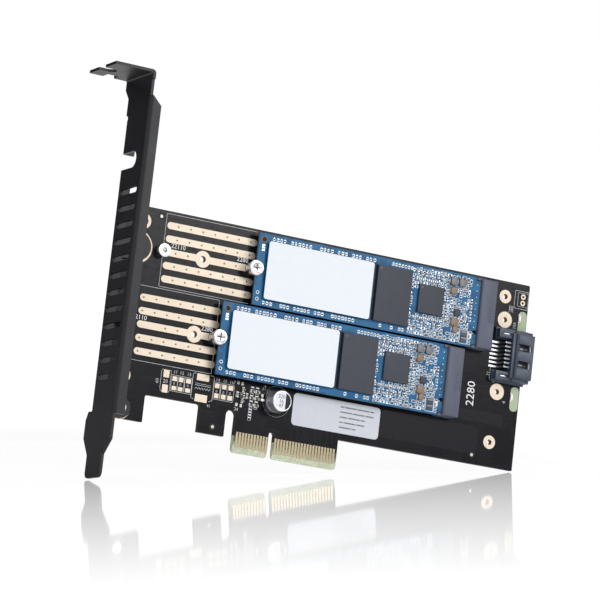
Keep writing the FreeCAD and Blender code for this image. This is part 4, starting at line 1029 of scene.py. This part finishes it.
    def back_face(self) -> None:
        """Copper under the mask, covered vias, the holes' rings and plain numbers on the solder side."""
        shape = Shape("solder_side", Side.BACK)
        for lane in range(10):
            start, turn = 3.5 + 1.9 * lane, 14.0 + 0.6 * lane
            shape.path([(start, 8.2), (start, turn), (start + 9.0, turn + 9.0), (start + 34.0, turn + 9.0)],
                       self.lane, MASK_OVER_COPPER, MASK[1])
        for along, up in (((-48.0, -31.8), (21.5, 42.0)), ((-27.0, -14.0), (20.0, 42.0)),
                          ((-42.0, -31.8), (46.0, 66.0)), ((-27.0, -10.0), (46.0, 66.0))):
            shape.block(along, MASK, up, MASK_OVER_COPPER, corner=1.2)
        for column in range(14):
            for row in range(3):
                place = (-6.0 + 6.1 * column, 26.0 + 15.0 * row + 1.7 * (column % 3))
                shape.ring(place, 0.14, 0.34, MASK_OVER_COPPER, (0.0, 0.04), 10)
        for place, hole, ring in self.holes():
            shape.ring(place, hole, ring, PAD_GOLD, (0.0, 0.04), 28)
        shape.path([(-45.5, 67.0), (-12.5, 67.0)], self.line, SILK)
        for text, along in (("1", 21.9), ("32", -9.2)):
            shape.figures(text, (along, 8.0), 1.2, SILK)
        shape.done()


@dataclass
class Bracket:
    """The folded and vented sheet that holds the card in its case, with its two screws.

    Attributes:
        screw_edge: Width of the broken edges of a screw's head.
    """

    screw_edge: float = 0.05

    def build(self) -> None:
        """Makes the sheet and its screws."""
        dressed("bracket", POWDER)
        softened("bracket_screws", NICKEL, self.screw_edge)


@dataclass
class Module:
    """A storage module in its socket.

    Attributes:
        name: Which of the two it is, as its nodes are named.
        corner: Its lower left corner along and up the card.
        top: Rise of its component side.
        thickness: The thickness of its board.
        open_ground: Patches of bare mask that the crowd leaves open, as their ends along and across.
        framed: The framed group at the lower right: its lower left corner and its size.
        clear: The least room between one small place and the next.
    """

    name: str
    corner: Pair = (0.0, 0.0)
    top: float = 3.25
    thickness: float = 0.8
    open_ground: tuple[Patch, ...] = (
        (54.3, 55.6, 3.6, 14.5), (71.8, 73.5, 12.6, 15.0), (75.3, 77.0, 5.0, 21.5), (73.9, 75.4, 9.8, 11.6),
        (66.4, 68.2, 3.4, 4.4), (69.4, 70.6, 14.6, 15.8))
    framed: Patch = (72.1, 0.7, 2.8, 4.2)
    clear: float = 0.1

    def __post_init__(self) -> None:
        """Finds the module's place from its board."""
        low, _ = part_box("module_board_" + self.name)
        self.corner = (low.x / MM, low.z / MM)
        self.top = Side.FRONT.rise(low.y)

    def spot(self, along: float, across: float) -> Pair:
        """A place on the module, measured from its lower left corner."""
        return self.corner[0] + along, self.corner[1] + across

    def shape(self, name: str, drop: float = 0.0) -> Shape:
        """A new piece on the module's component side, or a drop below it."""
        return Shape(f"{name}_{self.name}", base=self.top - drop)

    def solids(self, *kinds: str) -> list[tuple[Vector, Vector]]:
        """The boxes of the separate solids in the module's nodes of some kinds."""
        return [box for kind in kinds for box in solids_of(kind.format(self.name))]

    def build(self) -> None:
        """Makes everything on the module."""
        dressed("module_board_" + self.name, MASK_BLUE)
        self.chips()
        self.power_parts()
        self.chip_parts()
        self.fingers()
        self.left_margin()
        self.prints()
        self.crowd()
        self.under_side()

    def chips(self) -> None:
        """The flash chips, the controller and the bare label over the first two chips."""
        for node in (*(f"flash_{self.name}_{number}" for number in (1, 2, 3)), "controller_" + self.name):
            softened(node, EPOXY, 0.07)
        softened("module_label_" + self.name, PAPER, 0.03, 1)
        shape = self.shape("chip_marks")
        for node, inset in ((f"flash_{self.name}_3", 1.0), (f"controller_{self.name}", 0.9)):
            low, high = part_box(node)
            rise = Side.FRONT.rise(low.y) - self.top
            shape.dot((low.x / MM + inset, high.z / MM - inset), 0.32, EPOXY_MARK, (rise, rise + 0.01), 16)
        shape.done()

    def power_parts(self) -> None:
        """The coils and the square capacitors, with their end plates."""
        softened("module_inductors_" + self.name, FERRITE, 0.10)
        softened("module_capacitors_" + self.name, RESIN, 0.08)
        shape = self.shape("power_ends")
        for low, high in self.solids("module_inductors_{}", "module_capacitors_{}"):
            middle = (low.z + high.z) / 2.0
            for side in (low.x - 0.12, high.x - 0.10):
                shape.block((side, side + 0.22), (0.0, 0.34), (middle - 0.55, middle + 0.55), SOLDER,
                            edge=0.05)
        shape.done()

    def chip_parts(self) -> None:
        """Every chip resistor and capacitor: a ceramic body between two tinned ends on its solder."""
        bodies = (CERAMIC_TAN, CERAMIC_DARK, CERAMIC_GREY, CERAMIC_TAN, CERAMIC_DARK)
        shape = self.shape("chip_parts")
        for number, (low, high) in enumerate(self.solids("module_passives_{}")):
            chip_on(shape, low, high, bodies[number % 5], 0.0)
        shape.done(["module_passives_" + self.name])

    def fingers(self) -> None:
        """The gold fingers that go into the socket, on both sides, none at the key."""
        for name, drop, rise in (("fingers", 0.0, (0.0, 0.04)), ("fingers_back", 0.85, (0.01, 0.05))):
            shape = self.shape(name, drop)
            for finger in range(38):
                across = 1.75 + 0.5 * finger
                if abs(across - 4.875) >= 1.2:
                    left, up = self.spot(77.75, across)
                    shape.block((left, left + 2.0), rise, (up - 0.175, up + 0.175), CONTACT_GOLD)
            shape.done()

    def left_margin(self) -> None:
        """The open hole, the pads and the rings left of the label."""
        shape = self.shape("margin_pads")
        hole = self.spot(1.8, 20.1)
        shape.dot(hole, 0.74, BARE_DARK, (0.0, 0.012), 20)
        shape.ring(hole, 0.74, 0.98, VIA_BROWN_AND_SHADE, MASK)
        for step in range(3):
            shape.tile(self.spot(1.25, 16.6 + 0.75 * step), (0.95, 0.45), PAD, SOLDER, corner=0.08)
        for across in (3.9, 1.9):
            shape.ring(self.spot(1.45, across), 0.34, 0.56, SILK_MODULE, (0.0, 0.04), 16)
            shape.dot(self.spot(1.45, across), 0.34, BARE_DARK)
        shape.done()

    def place_of(self, shape: Shape, along: float, across: float, size: Pair, body: Finish | None) -> None:
        """One small place: a printed outline round a pad or a part.

        Args:
            shape: The piece that takes it.
            along: Its left end on the module.
            across: Its lower end on the module.
            size: Its size along and across.
            body: Finish of the part on it, or None where it is unfitted.
        """
        left, up = self.spot(along, across)
        right, over = left + size[0], up + size[1]
        shape.frame_of((left, right), (up, over), 0.14, SILK_MODULE, FINE_PRINT)
        level = size[0] > size[1]
        pad = 0.26 * max(size)
        if level:
            for ends in ((left + 0.12, left + pad), (right - pad, right - 0.12)):
                shape.block(ends, PAD, (up + 0.14, over - 0.14), SOLDER)
        else:
            for ends in ((up + 0.12, up + pad), (over - pad, over - 0.12)):
                shape.block((left + 0.14, right - 0.14), PAD, ends, SOLDER)
        if body is not None:
            inset = (0.24, 0.16) if level else (0.16, 0.24)
            shape.block((left + inset[0], right - inset[0]), (0.0, 0.28), (up + inset[1], over - inset[1]),
                        body, edge=0.04, rings=1)

    def prints(self) -> None:
        """The rows of small unfitted places above and below the chips."""
        shape = self.shape("module_prints")
        for step in range(29):
            if step not in (4, 11, 12, 17, 21, 25):
                wide = 0.62 + 0.12 * ((step * 5) % 3)
                self.place_of(shape, 4.7 + 1.24 * step, 20.15, (wide, 1.02), None)
        for step in range(7):
            body = CERAMIC_GREY if step % 3 == 1 else None
            self.place_of(shape, 46.0 + 1.12 * step, 20.2, (0.72, 0.95), body)
        for step in range(27):
            if step not in (3, 4, 8, 14, 18, 19):
                wide = 0.66 + 0.10 * ((step * 7) % 3)
                self.place_of(shape, 3.4 + 1.18 * step, 0.62, (wide, 0.98), None)
        for along in (43.6, 47.6, 50.4, 51.5):
            self.place_of(shape, along, 0.75, (0.78, 0.95), CERAMIC_GREY if along > 50.0 else None)
        # painted shade in the gap beside the label
        self.dark_gap(shape)
        shape.done()

    def dark_gap(self, shape: Shape) -> None:
        """Painted shade in the narrow gap between the label's end and the open flash chip: a near-black field
        and a thin dark plate on the covered chip's top.
        """
        _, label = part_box("module_label_" + self.name)
        chip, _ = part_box(f"flash_{self.name}_3")
        covered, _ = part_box(f"flash_{self.name}_2")
        top = Side.FRONT.height(self.top) - covered.y / MM
        up = (label.z / MM - 17.4, label.z / MM + 0.1)
        # painted shade: a near-black field on the module in the gap
        shape.block((label.x / MM + 0.6, chip.x / MM - 0.02), (0.0, 0.02), up, GAP_SHADE)
        # painted shade: a thin dark plate on the covered chip's visible top
        shape.block((label.x / MM + 0.02, label.x / MM + 0.58), (top, top + 0.01), up, GAP_SHADE)

    def crowd(self) -> None:
        """The small places that fill the free ground round the controller."""
        shape = self.shape("crowd_places")
        held = [(low.x, high.x, low.z, high.z) for low, high in self.solids(
            "module_passives_{}", "module_inductors_{}", "module_capacitors_{}", "controller_{}",
            "m2_socket_{}", "flash_{}_3")]
        left, up = self.spot(*self.framed[:2])
        frame_box = (left, left + self.framed[2], up, up + self.framed[3])
        held.append(frame_box)
        shape.frame_of(frame_box[:2], frame_box[2:], 0.16, SILK_MODULE, FINE_PRINT)
        for low, high in self.solids("module_passives_{}", "module_inductors_{}", "module_capacitors_{}"):
            shape.frame_of((low.x - 0.13, high.x + 0.13), (low.z - 0.13, high.z + 0.13), 0.12, SILK_MODULE,
                           FINE_PRINT)
        choice = random.Random(31)
        bodies = (CERAMIC_DARK, CERAMIC_GREY, CERAMIC_DARK, CERAMIC_DARK, CERAMIC_TAN, CERAMIC_DARK, None)
        sizes = ((1.02, 0.60), (0.64, 1.00), (1.30, 0.74), (0.76, 1.28), (0.90, 0.90), (1.60, 0.80))
        along = 53.6
        while along < 76.0:
            across = 0.65
            while across < 20.6:
                size = sizes[choice.randrange(len(sizes))]
                body = bodies[choice.randrange(len(bodies))]
                if choice.random() < 0.9 and self.free(along, across, size, held):
                    self.place_of(shape, along, across, size, body)
                    left, up = self.spot(along, across)
                    held.append((left, left + size[0], up, up + size[1]))
                across += 0.31
            along += 0.33
        self.fill_gaps(shape, held, choice)
        self.large_places(shape)
        shape.done()

    def fill_gaps(self, shape: Shape, held: Sequence[Patch], choice: random.Random) -> None:
        """Single pads and short bars of print where no whole place fits.

        Args:
            shape: The piece that takes them.
            held: The places already taken.
            choice: The seeded source of their kinds.
        """
        for column in range(45):
            for row in range(40):
                along, across = 53.6 + 0.52 * column, 0.6 + 0.52 * row
                if choice.random() < 0.50 or not self.free(along, across, (0.40, 0.40), held):
                    continue
                left, up = self.spot(along, across)
                if choice.random() < 0.5:
                    shape.tile((left, up), (0.34, 0.34), PAD, SOLDER)
                else:
                    shape.block((left, left + 0.36), (0.0, FINE_PRINT), (up + 0.08, up + 0.26), SILK_MODULE)

    def free(self, along: float, across: float, size: Pair, held: Sequence[Patch]) -> bool:
        """Whether a small place would stand clear of the parts, the board's edges and the open ground.

        Args:
            along: Its left end on the module.
            across: Its lower end on the module.
            size: Its size along and across.
            held: The places already taken, as their ends along and up the card.

        Returns:
            True where it would.
        """
        left, up = self.spot(along, across)
        if along + size[0] > 76.6 or across + size[1] > 21.5:
            return False
        for start, end, bottom, top in self.open_ground:
            if start < along + size[0] and along < end and bottom < across + size[1] and across < top:
                return False
        return not any(left < high + self.clear and left + size[0] > low - self.clear
                       and up < over + self.clear and up + size[1] > under - self.clear
                       for low, high, under, over in held)

    def large_places(self, shape: Shape) -> None:
        """The larger marks of the crowd: a white block, a dark chip and the dots beside the socket."""
        shape.tile(self.spot(75.2, 2.6), (1.1, 1.7), (0.0, 0.06), SILK_BRIGHT, corner=0.12)
        shape.tile(self.spot(69.2, 8.7), (2.1, 2.1), (0.0, 0.62), EPOXY, edge=0.06)
        for step in range(9):
            shape.dot(self.spot(76.75, 4.4 + 1.9 * step), 0.16, SILK_MODULE, steps=8)
        for step in range(4):
            shape.tile(self.spot(72.5, 1.1 + 0.95 * step), (2.0, 0.55), (0.0, 0.30),
                       CERAMIC_TAN if step % 2 else CERAMIC_DARK, edge=0.05, rings=1)

    def under_side(self) -> None:
        """Covered vias on the side that faces the card."""
        shape = self.shape("under_prints", self.thickness)
        for column in range(12):
            along, up = self.spot(5.0 + 6.0 * column, 3.0)
            for row in range(3):
                shape.ring((along, up + 7.5 * row), 0.14, 0.34, MASK_BLUE, (-0.03, 0.0), 8)
        shape.done()


def chip_on(shape: Shape, low: Vector, high: Vector, body: Finish, fillet: float = 0.12,
            ends: Finish = SOLDER) -> None:
    """A chip part that fills the box of its solid: a body, two tinned ends and the solder at its feet.

    Args:
        shape: The piece that takes it, based at the face that the part stands on.
        low: Lowest corner of the part's box, in millimetres.
        high: Highest corner of the box.
        body: Finish of its body.
        fillet: How far the solder reaches past its ends.
        ends: Finish of its ends.
    """
    height = abs(high.y - low.y)
    level = high.x - low.x > high.z - low.z
    first, last, near, far = (low.x, high.x, low.z, high.z) if level else (low.z, high.z, low.x, high.x)
    length = last - first
    cap = 0.24 * length

    def laid(lengthwise: Pair, rise: Pair, across: Pair, finish: Finish, edge: float) -> None:
        """A block told along and across the part, whichever way the part lies."""
        along, up = (lengthwise, across) if level else (across, lengthwise)
        shape.block(along, rise, up, finish, edge=edge, rings=1)

    laid((first + 0.5 * cap, last - 0.5 * cap), (0.0, height - 0.02), (near + 0.02, far - 0.02), body, 0.03)
    for start in (0.0, length - cap):
        end = (first + start, first + start + cap)
        laid(end, (0.0, height), (near, far), ends, 0.05)
        if fillet > 0.0:
            reach = fillet if start > 0.0 else -fillet
            laid((end[0] + min(reach, 0.0), end[1] + max(reach, 0.0)), (0.0, 0.14), (near, far), ends, 0.05)


@dataclass
class Socket:
    """An edge socket for a module, with its solder tails.

    Attributes:
        name: Which of the two it is.
        pad_reach: How far a solder pad reaches past its tail.
    """

    name: str
    pad_reach: float = 0.35

    def build(self) -> None:
        """Makes the moulding, the tails and their pads."""
        softened("m2_socket_" + self.name, SOCKET)
        dressed("m2_socket_tails_" + self.name, TIN)
        shape = Shape("tail_pads_" + self.name)
        for low, high in solids_of("m2_socket_tails_" + self.name):
            shape.block((low.x, high.x + self.pad_reach), PAD, (low.z - 0.02, high.z + 0.02), SOLDER)
        shape.done()


@dataclass
class Supports:
    """The tinned standoffs soldered to the card and the screws that hold the modules' ends.

    Attributes:
        edge: Width of their broken edges.
        slot: Half the length and half the width of a slot of the cross recess.
        slot_depth: The depths below the head's top between which the slot's floor of painted shade lies.
        worn: The radii of the painted shade ring round the domed head.
    """

    edge: float = 0.06
    slot: Pair = (1.16, 0.17)
    slot_depth: Pair = (0.60, 0.57)
    worn: Pair = (1.30, 1.62)

    def build(self) -> None:
        """Makes the standoffs and the screws."""
        softened("module_standoffs", STANDOFF, self.edge)
        softened("module_screws", NICKEL, self.edge)
        shape = Shape("screw_shades")
        for low, high in solids_of("module_screws"):
            along, up = (low.x + high.x) / 2.0, (low.z + high.z) / 2.0
            top = Side.FRONT.height(0.0) - low.y
            # painted shade: two dark strips across the floor of the cross recess
            for turn in (0.0, 90.0):
                shape.block((along - self.slot[0], along + self.slot[0]),
                            (top - self.slot_depth[0], top - self.slot_depth[1]),
                            (up - self.slot[1], up + self.slot[1]), RECESS_SHADE, turn=turn)
            # painted shade: a grey ring round the head where its dome turns from the light
            shape.ring((along, up), *self.worn, DOME_SHADE_RING, (top - 0.004, top), 28)
        shape.done()


@dataclass
class DataPort:
    """The seven-contact port at the card's far end."""

    def build(self) -> None:
        """Makes the moulding, its contacts and its hold-downs."""
        softened("sata_housing", PORT_WITH_REFLECTION)
        dressed("sata_contacts", PORT_TIN)
        softened("sata_hold_downs", TIN, 0.05)
        shape = Shape("port_pads")
        for low, high in solids_of("sata_contacts"):
            shape.block((low.x - 0.35, low.x + 0.9), PAD, (low.z - 0.08, high.z + 0.08), SOLDER)
        shape.done()


@dataclass
class RoundCapacitor:
    """The surface-mounted can capacitor: moulded base, drawn can and two leads.

    Attributes:
        steps: How many faces go round the can.
        chord: How far the dark mark's straight side lies right of the middle.
        sunk: How far the can's flat top lies below its shoulder.
    """

    steps: int = 48
    chord: float = 1.05
    sunk: float = 0.012

    def build(self) -> None:
        """Makes the base, the can and the print on its top."""
        softened("capacitor_base", BASE_MOULDING)
        softened("capacitor_leads", TIN, 0.05)
        low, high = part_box("capacitor_can")
        place = ((low.x + high.x) / 2.0 / MM, (low.z + high.z) / 2.0 / MM)
        radius = (high.x - low.x) / 2.0 / MM
        foot, top = Side.FRONT.rise(high.y), Side.FRONT.rise(low.y)
        self.can(place, radius, foot, top)
        self.top_print(place, radius, top)

    def can(self, place: Pair, radius: float, foot: float, top: float) -> None:
        """The can: rolled foot, crimped groove, straight side, rounded shoulder and sunk top.

        Args:
            place: Its middle along and up the card.
            radius: Its radius.
            foot: The rise of its foot.
            top: The rise of its top.
        """
        shape = Shape("round_can")
        side = [(radius - inset, foot + rise) for inset, rise in (
            (0.35, 0.0), (0.08, 0.10), (0.0, 0.30), (0.03, 0.55), (0.22, 0.78), (0.26, 0.92), (0.22, 1.06),
            (0.04, 1.30), (0.0, 1.50))]
        shoulder = [(radius - 0.28 + 0.28 * math.cos(a), top - 0.28 + 0.28 * math.sin(a))
                    for a in (0.35, 0.8, 1.2)]
        shape.turned([(0.0, foot), *side, (radius, top - 0.28), *shoulder, (radius - 0.30, top - 0.001),
                      (radius - 0.34, top - self.sunk), (0.0, top - self.sunk)], place, CAN, self.steps)
        shape.done(["capacitor_can"])

    def top_print(self, place: Pair, radius: float, top: float) -> None:
        """The dark side mark and three rows of plain figures on the white-coated top.

        Args:
            place: The can's middle along and up the card.
            radius: Its radius.
            top: The rise of its top.
        """
        shape = Shape("can_print", base=top - self.sunk)
        rim, thick = radius - 0.36, 0.004
        shape.dot(place, rim, CAN_TOP, (0.0, thick), self.steps)
        shape.done()
        mark = bmesh.new()
        bmesh.ops.create_cone(mark, cap_ends=True, segments=self.steps, radius1=rim, radius2=rim, depth=thick)
        bmesh.ops.rotate(mark, cent=(0.0, 0.0, 0.0), matrix=Matrix.Rotation(math.pi / 2.0, 3, "X"),
                         verts=mark.verts[:])
        cut = bmesh.ops.bisect_plane(mark, geom=mark.verts[:] + mark.edges[:] + mark.faces[:], dist=0.0001,
                                     plane_co=(self.chord, 0.0, 0.0), plane_no=(-1.0, 0.0, 0.0),
                                     clear_outer=True)
        rims = [g for g in cut["geom_cut"] if isinstance(g, bmesh.types.BMEdge)]
        bmesh.ops.holes_fill(mark, edges=rims)
        ink = Shape("can_mark", base=top - 0.008)
        ink.take(mark, CAN_INK, Matrix.Translation((place[0], ink.level(thick / 2.0), place[1])))
        for row, (text, inset) in enumerate((("220", 1.55), ("16", 1.15), ("47", 1.15))):
            ink.figures(text, (place[0] - inset, place[1] + 0.80 - 1.38 * row), 1.12, CAN_INK, top=thick)
        ink.done()


@dataclass
class SmallParts:
    """The chip resistors, chip capacitors and lamps on the card itself."""

    def build(self) -> None:
        """Makes them all."""
        for kind, body in (("resistors", CERAMIC_DARK), ("capacitors", CERAMIC_GREY)):
            shape = Shape("card_" + kind)
            for low, high in solids_of("chip_" + kind):
                chip_on(shape, low, high, body, ends=DULL_TIN)
            shape.done(["chip_" + kind])
        self.lamps()

    def lamps(self) -> None:
        """Each lamp: a clear block on a white base between two plated ends."""
        shape = Shape("lamps")
        for low, high in solids_of("status_leds"):
            height = abs(high.y - low.y)
            shape.block((low.x, high.x), (0.0, 0.3 * height), (low.z, high.z), PAPER, edge=0.03)
            shape.block((low.x + 0.03, high.x - 0.03), (0.3 * height, height), (low.z + 0.6, high.z - 0.6),
                        LAMP, edge=0.08)
            for start in (low.z, high.z - 0.5):
                shape.block((low.x - 0.02, high.x + 0.02), (0.0, 0.36 * height), (start, start + 0.5),
                            PAD_GOLD, edge=0.03)
        shape.done(["status_leds"])


@dataclass
class CardLabel:
    """The bare white label beside the round capacitor.

    Attributes:
        edge: Width of its broken edges.
        rows: The lengths of the plain grey rows on it.
        pitch: From one row to the next.
        word: From one bar of a row to the next.
    """

    edge: float = 0.03
    rows: tuple[float, ...] = (11.6, 12.2, 9.2, 9.8, 6.6)
    pitch: float = 1.55
    word: float = 1.45

    def build(self) -> None:
        """Makes the label, its corners round."""
        softened("board_label", CARD_PAPER, self.edge, 1)
        low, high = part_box("board_label")
        shape = Shape("label_rows", base=Side.FRONT.rise(low.y) - 0.004)
        for row, length in enumerate(self.rows):
            left, up = high.x / MM - 13.6, high.z / MM - 1.75 - self.pitch * row
            for step in range(int(length / self.word)):
                start = left + self.word * step
                bar = 1.05 if (step + row) % 3 else 0.75
                shape.stroke((start, up), (start + bar, up), 0.42, LABEL_GREY, 0.004)
        shape.done()


# ----------------------------------------------------------------------------------------------------------
# The studio
# ----------------------------------------------------------------------------------------------------------


@dataclass
class Studio:
    """Pale floor, plain light and the camera.

    Attributes:
        eye: The camera's place in millimetres.
        right: The way to the picture's right.
        down: The way to the picture's foot.
        ahead: The way that the camera looks.
        lens: Its lens on a 36 mm sensor.
        floor_at: A place where the card stands on the floor.
        floor_up: The floor's upward direction.
        gloss_at: The middle of the floor's glossy patch, in front of the card.
        gloss_span: The distances from there, in metres, between which the gloss dies away.
        lamps: Each lamp's name, its place, its width and height, and its power in watts.
        cards: Each dark card's name, its place, and its width and height.
    """

    eye: Triple = (-471.234, -919.862, -124.531)
    right: Triple = (0.87411, -0.47315, 0.10981)
    down: Triple = (0.17447, 0.09486, -0.98008)
    ahead: Triple = (0.45330, 0.87586, 0.16547)
    lens: float = 209.01
    floor_at: Triple = (84.4, 0.8, 9.3)
    floor_up: Triple = (-0.1626, -0.1499, 0.9752)
    gloss_at: Triple = (-40.0, -70.0, -20.0)
    gloss_span: Pair = (0.18, 0.27)
    lamps: tuple[tuple[str, Triple, Pair, float], ...] = (
        ("key", (-60.0, -960.0, 520.0), (640.0, 420.0), 2.9),
        ("sheen", (457.0, -958.0, 350.0), (420.0, 200.0), 3.3),
        ("left", (-900.0, -420.0, 520.0), (420.0, 420.0), 0.9),
        ("top", (100.0, 250.0, 1000.0), (700.0, 700.0), 3.0))
    cards: tuple[tuple[str, Triple, Pair], ...] = (
        ("left_card", (-600.0, 950.0, 200.0), (1100.0, 900.0)),
        ("right_card", (900.0, -300.0, 60.0), (800.0, 520.0)),
        ("low_card", (620.0, -900.0, -60.0), (520.0, 300.0)))

    def build(self) -> None:
        """Sets the camera, the floor, the lamps and the world."""
        self.camera()
        self.floor()
        for lamp in self.lamps:
            self.lamp(*lamp)
        for card in self.cards:
            self.card(*card)
        self.world()
        bpy.context.scene.view_settings.view_transform = "Standard"

    def camera(self) -> None:
        """The camera, from where the card is looked at."""
        data = bpy.data.cameras.new("camera")
        data.lens = self.lens
        data.sensor_width = 36.0
        data.clip_start = 0.01
        data.clip_end = 20.0
        camera = bpy.data.objects.new("camera", data)
        columns = Matrix((self.right, [-v for v in self.down], [-v for v in self.ahead])).transposed()
        camera.matrix_world = Matrix.Translation(Vector(self.eye) * MM) @ columns.to_4x4()
        bpy.context.scene.collection.objects.link(camera)
        bpy.context.scene.camera = camera

    def floor(self) -> None:
        """A wide pale floor under the places where the card stands."""
        shape = bmesh.new()
        bmesh.ops.create_grid(shape, x_segments=2, y_segments=2, size=6.0)
        up = Vector(self.floor_up).normalized()
        floor = linked(shape, "floor")
        floor.data.transform(Matrix.Translation(Vector(self.floor_at) * MM - up * 0.0002) @ facing(up, "Z"))
        floor.data.materials.append(self.floor_finish())

    def floor_finish(self) -> bpy.types.Material:
        """White to the eye, with gloss and shade in a patch under the card that die away round it."""
        graph = Graph(bpy.data.materials.new("pale floor"))
        graph.tree.nodes.remove(graph.surface)
        paper = graph.node("BsdfDiffuse", Color=(0.85, 0.85, 0.85))
        gloss = graph.node("BsdfGlossy", Roughness=0.05, Color=(1.0, 1.0, 1.0))
        glow = graph.node("Emission", Strength=1.06)
        apart = graph.node("VectorMath")
        apart.operation = "DISTANCE"
        apart.inputs[1].default_value = tuple(v * MM for v in self.gloss_at)
        graph.feed(apart.inputs[0], graph.place)
        reach = apart.outputs["Value"]
        shaded = graph.blend(graph.step(reach, *self.gloss_span, (0.85, 0.0)), paper, gloss)
        plain = graph.step(reach, *self.gloss_span, (0.34, 1.0))
        for axis, span, share in (("Y", (-0.24, 0.0), (1.0, 0.30)), ("X", (0.10, 0.14), (0.0, 1.0))):
            plain = graph.maths("MAXIMUM", plain, graph.step(graph.axis(axis), *span, share))
        lit = graph.blend(graph.maths("MULTIPLY", graph.seen(), plain), shaded, glow)
        graph.feed(graph.tree.nodes["Material Output"].inputs["Surface"], lit.outputs[0])
        return graph.owner

    def card(self, name: str, place: Triple, size: Pair) -> None:
        """A dark card beside the picture, which gives metal and gloss something dark to show.

        Args:
            name: The card's name.
            place: Its middle, in millimetres.
            size: Its width and height in millimetres.
        """
        shape = bmesh.new()
        bmesh.ops.create_grid(shape, x_segments=1, y_segments=1, size=0.5)
        bmesh.ops.scale(shape, vec=(size[0] * MM, size[1] * MM, 1.0), verts=shape.verts[:])
        turn = facing(MIDDLE - Vector(place), "Z")
        bmesh.ops.transform(shape, matrix=Matrix.Translation(Vector(place) * MM) @ turn, verts=shape.verts[:])
        card = linked(shape, name)
        card.visible_camera = False
        card.visible_shadow = False
        card.data.materials.append(DARK_CARD.material())

    def lamp(self, name: str, place: Triple, size: Pair, power: float) -> None:
        """A large soft lamp that faces the middle of the card.

        Args:
            name: The lamp's name.
            place: Where it hangs, in millimetres.
            size: Its width and height in millimetres.
            power: Its power in watts.
        """
        data = bpy.data.lights.new(name, "AREA")
        data.shape = "RECTANGLE"
        data.size, data.size_y = size[0] * MM, size[1] * MM
        data.energy = power
        light = bpy.data.objects.new(name, data)
        light.matrix_world = Matrix.Translation(Vector(place) * MM) @ facing(MIDDLE - Vector(place), "-Z")
        bpy.context.scene.collection.objects.link(light)

    def world(self) -> None:
        """White where it is seen, in mirrors and in glass too, and plain grey as a light."""
        world = bpy.data.worlds.new("studio")
        bpy.context.scene.world = world
        graph = Graph(world)
        ground = graph.tree.nodes["Background"]
        graph.feed(ground.inputs["Color"], (1.0, 1.0, 1.0))
        graph.feed(ground.inputs["Strength"], graph.step(graph.seen(), 0.0, 1.0, (0.45, 1.0)))


def facing(toward: Vector, axis: str) -> Matrix:
    """The turn that points an axis of an object toward a place."""
    return toward.to_track_quat(axis, "Y").to_matrix().to_4x4()


def sub_assemblies() -> Iterable[object]:
    """The parts of the scene in the order in which they are made."""
    return (Studio(), MainBoard(), Bracket(), Supports(), Socket("upper"), Socket("lower"), Module("upper"),
            Module("lower"), DataPort(), RoundCapacitor(), SmallParts(), CardLabel())


def main() -> None:
    """Builds the scene."""
    logging.basicConfig(level=logging.INFO, format="%(name)s: %(message)s")
    for part in sub_assemblies():
        LOG.info("making %s", type(part).__name__)
        part.build()


if __name__ == "__main__":
    main()
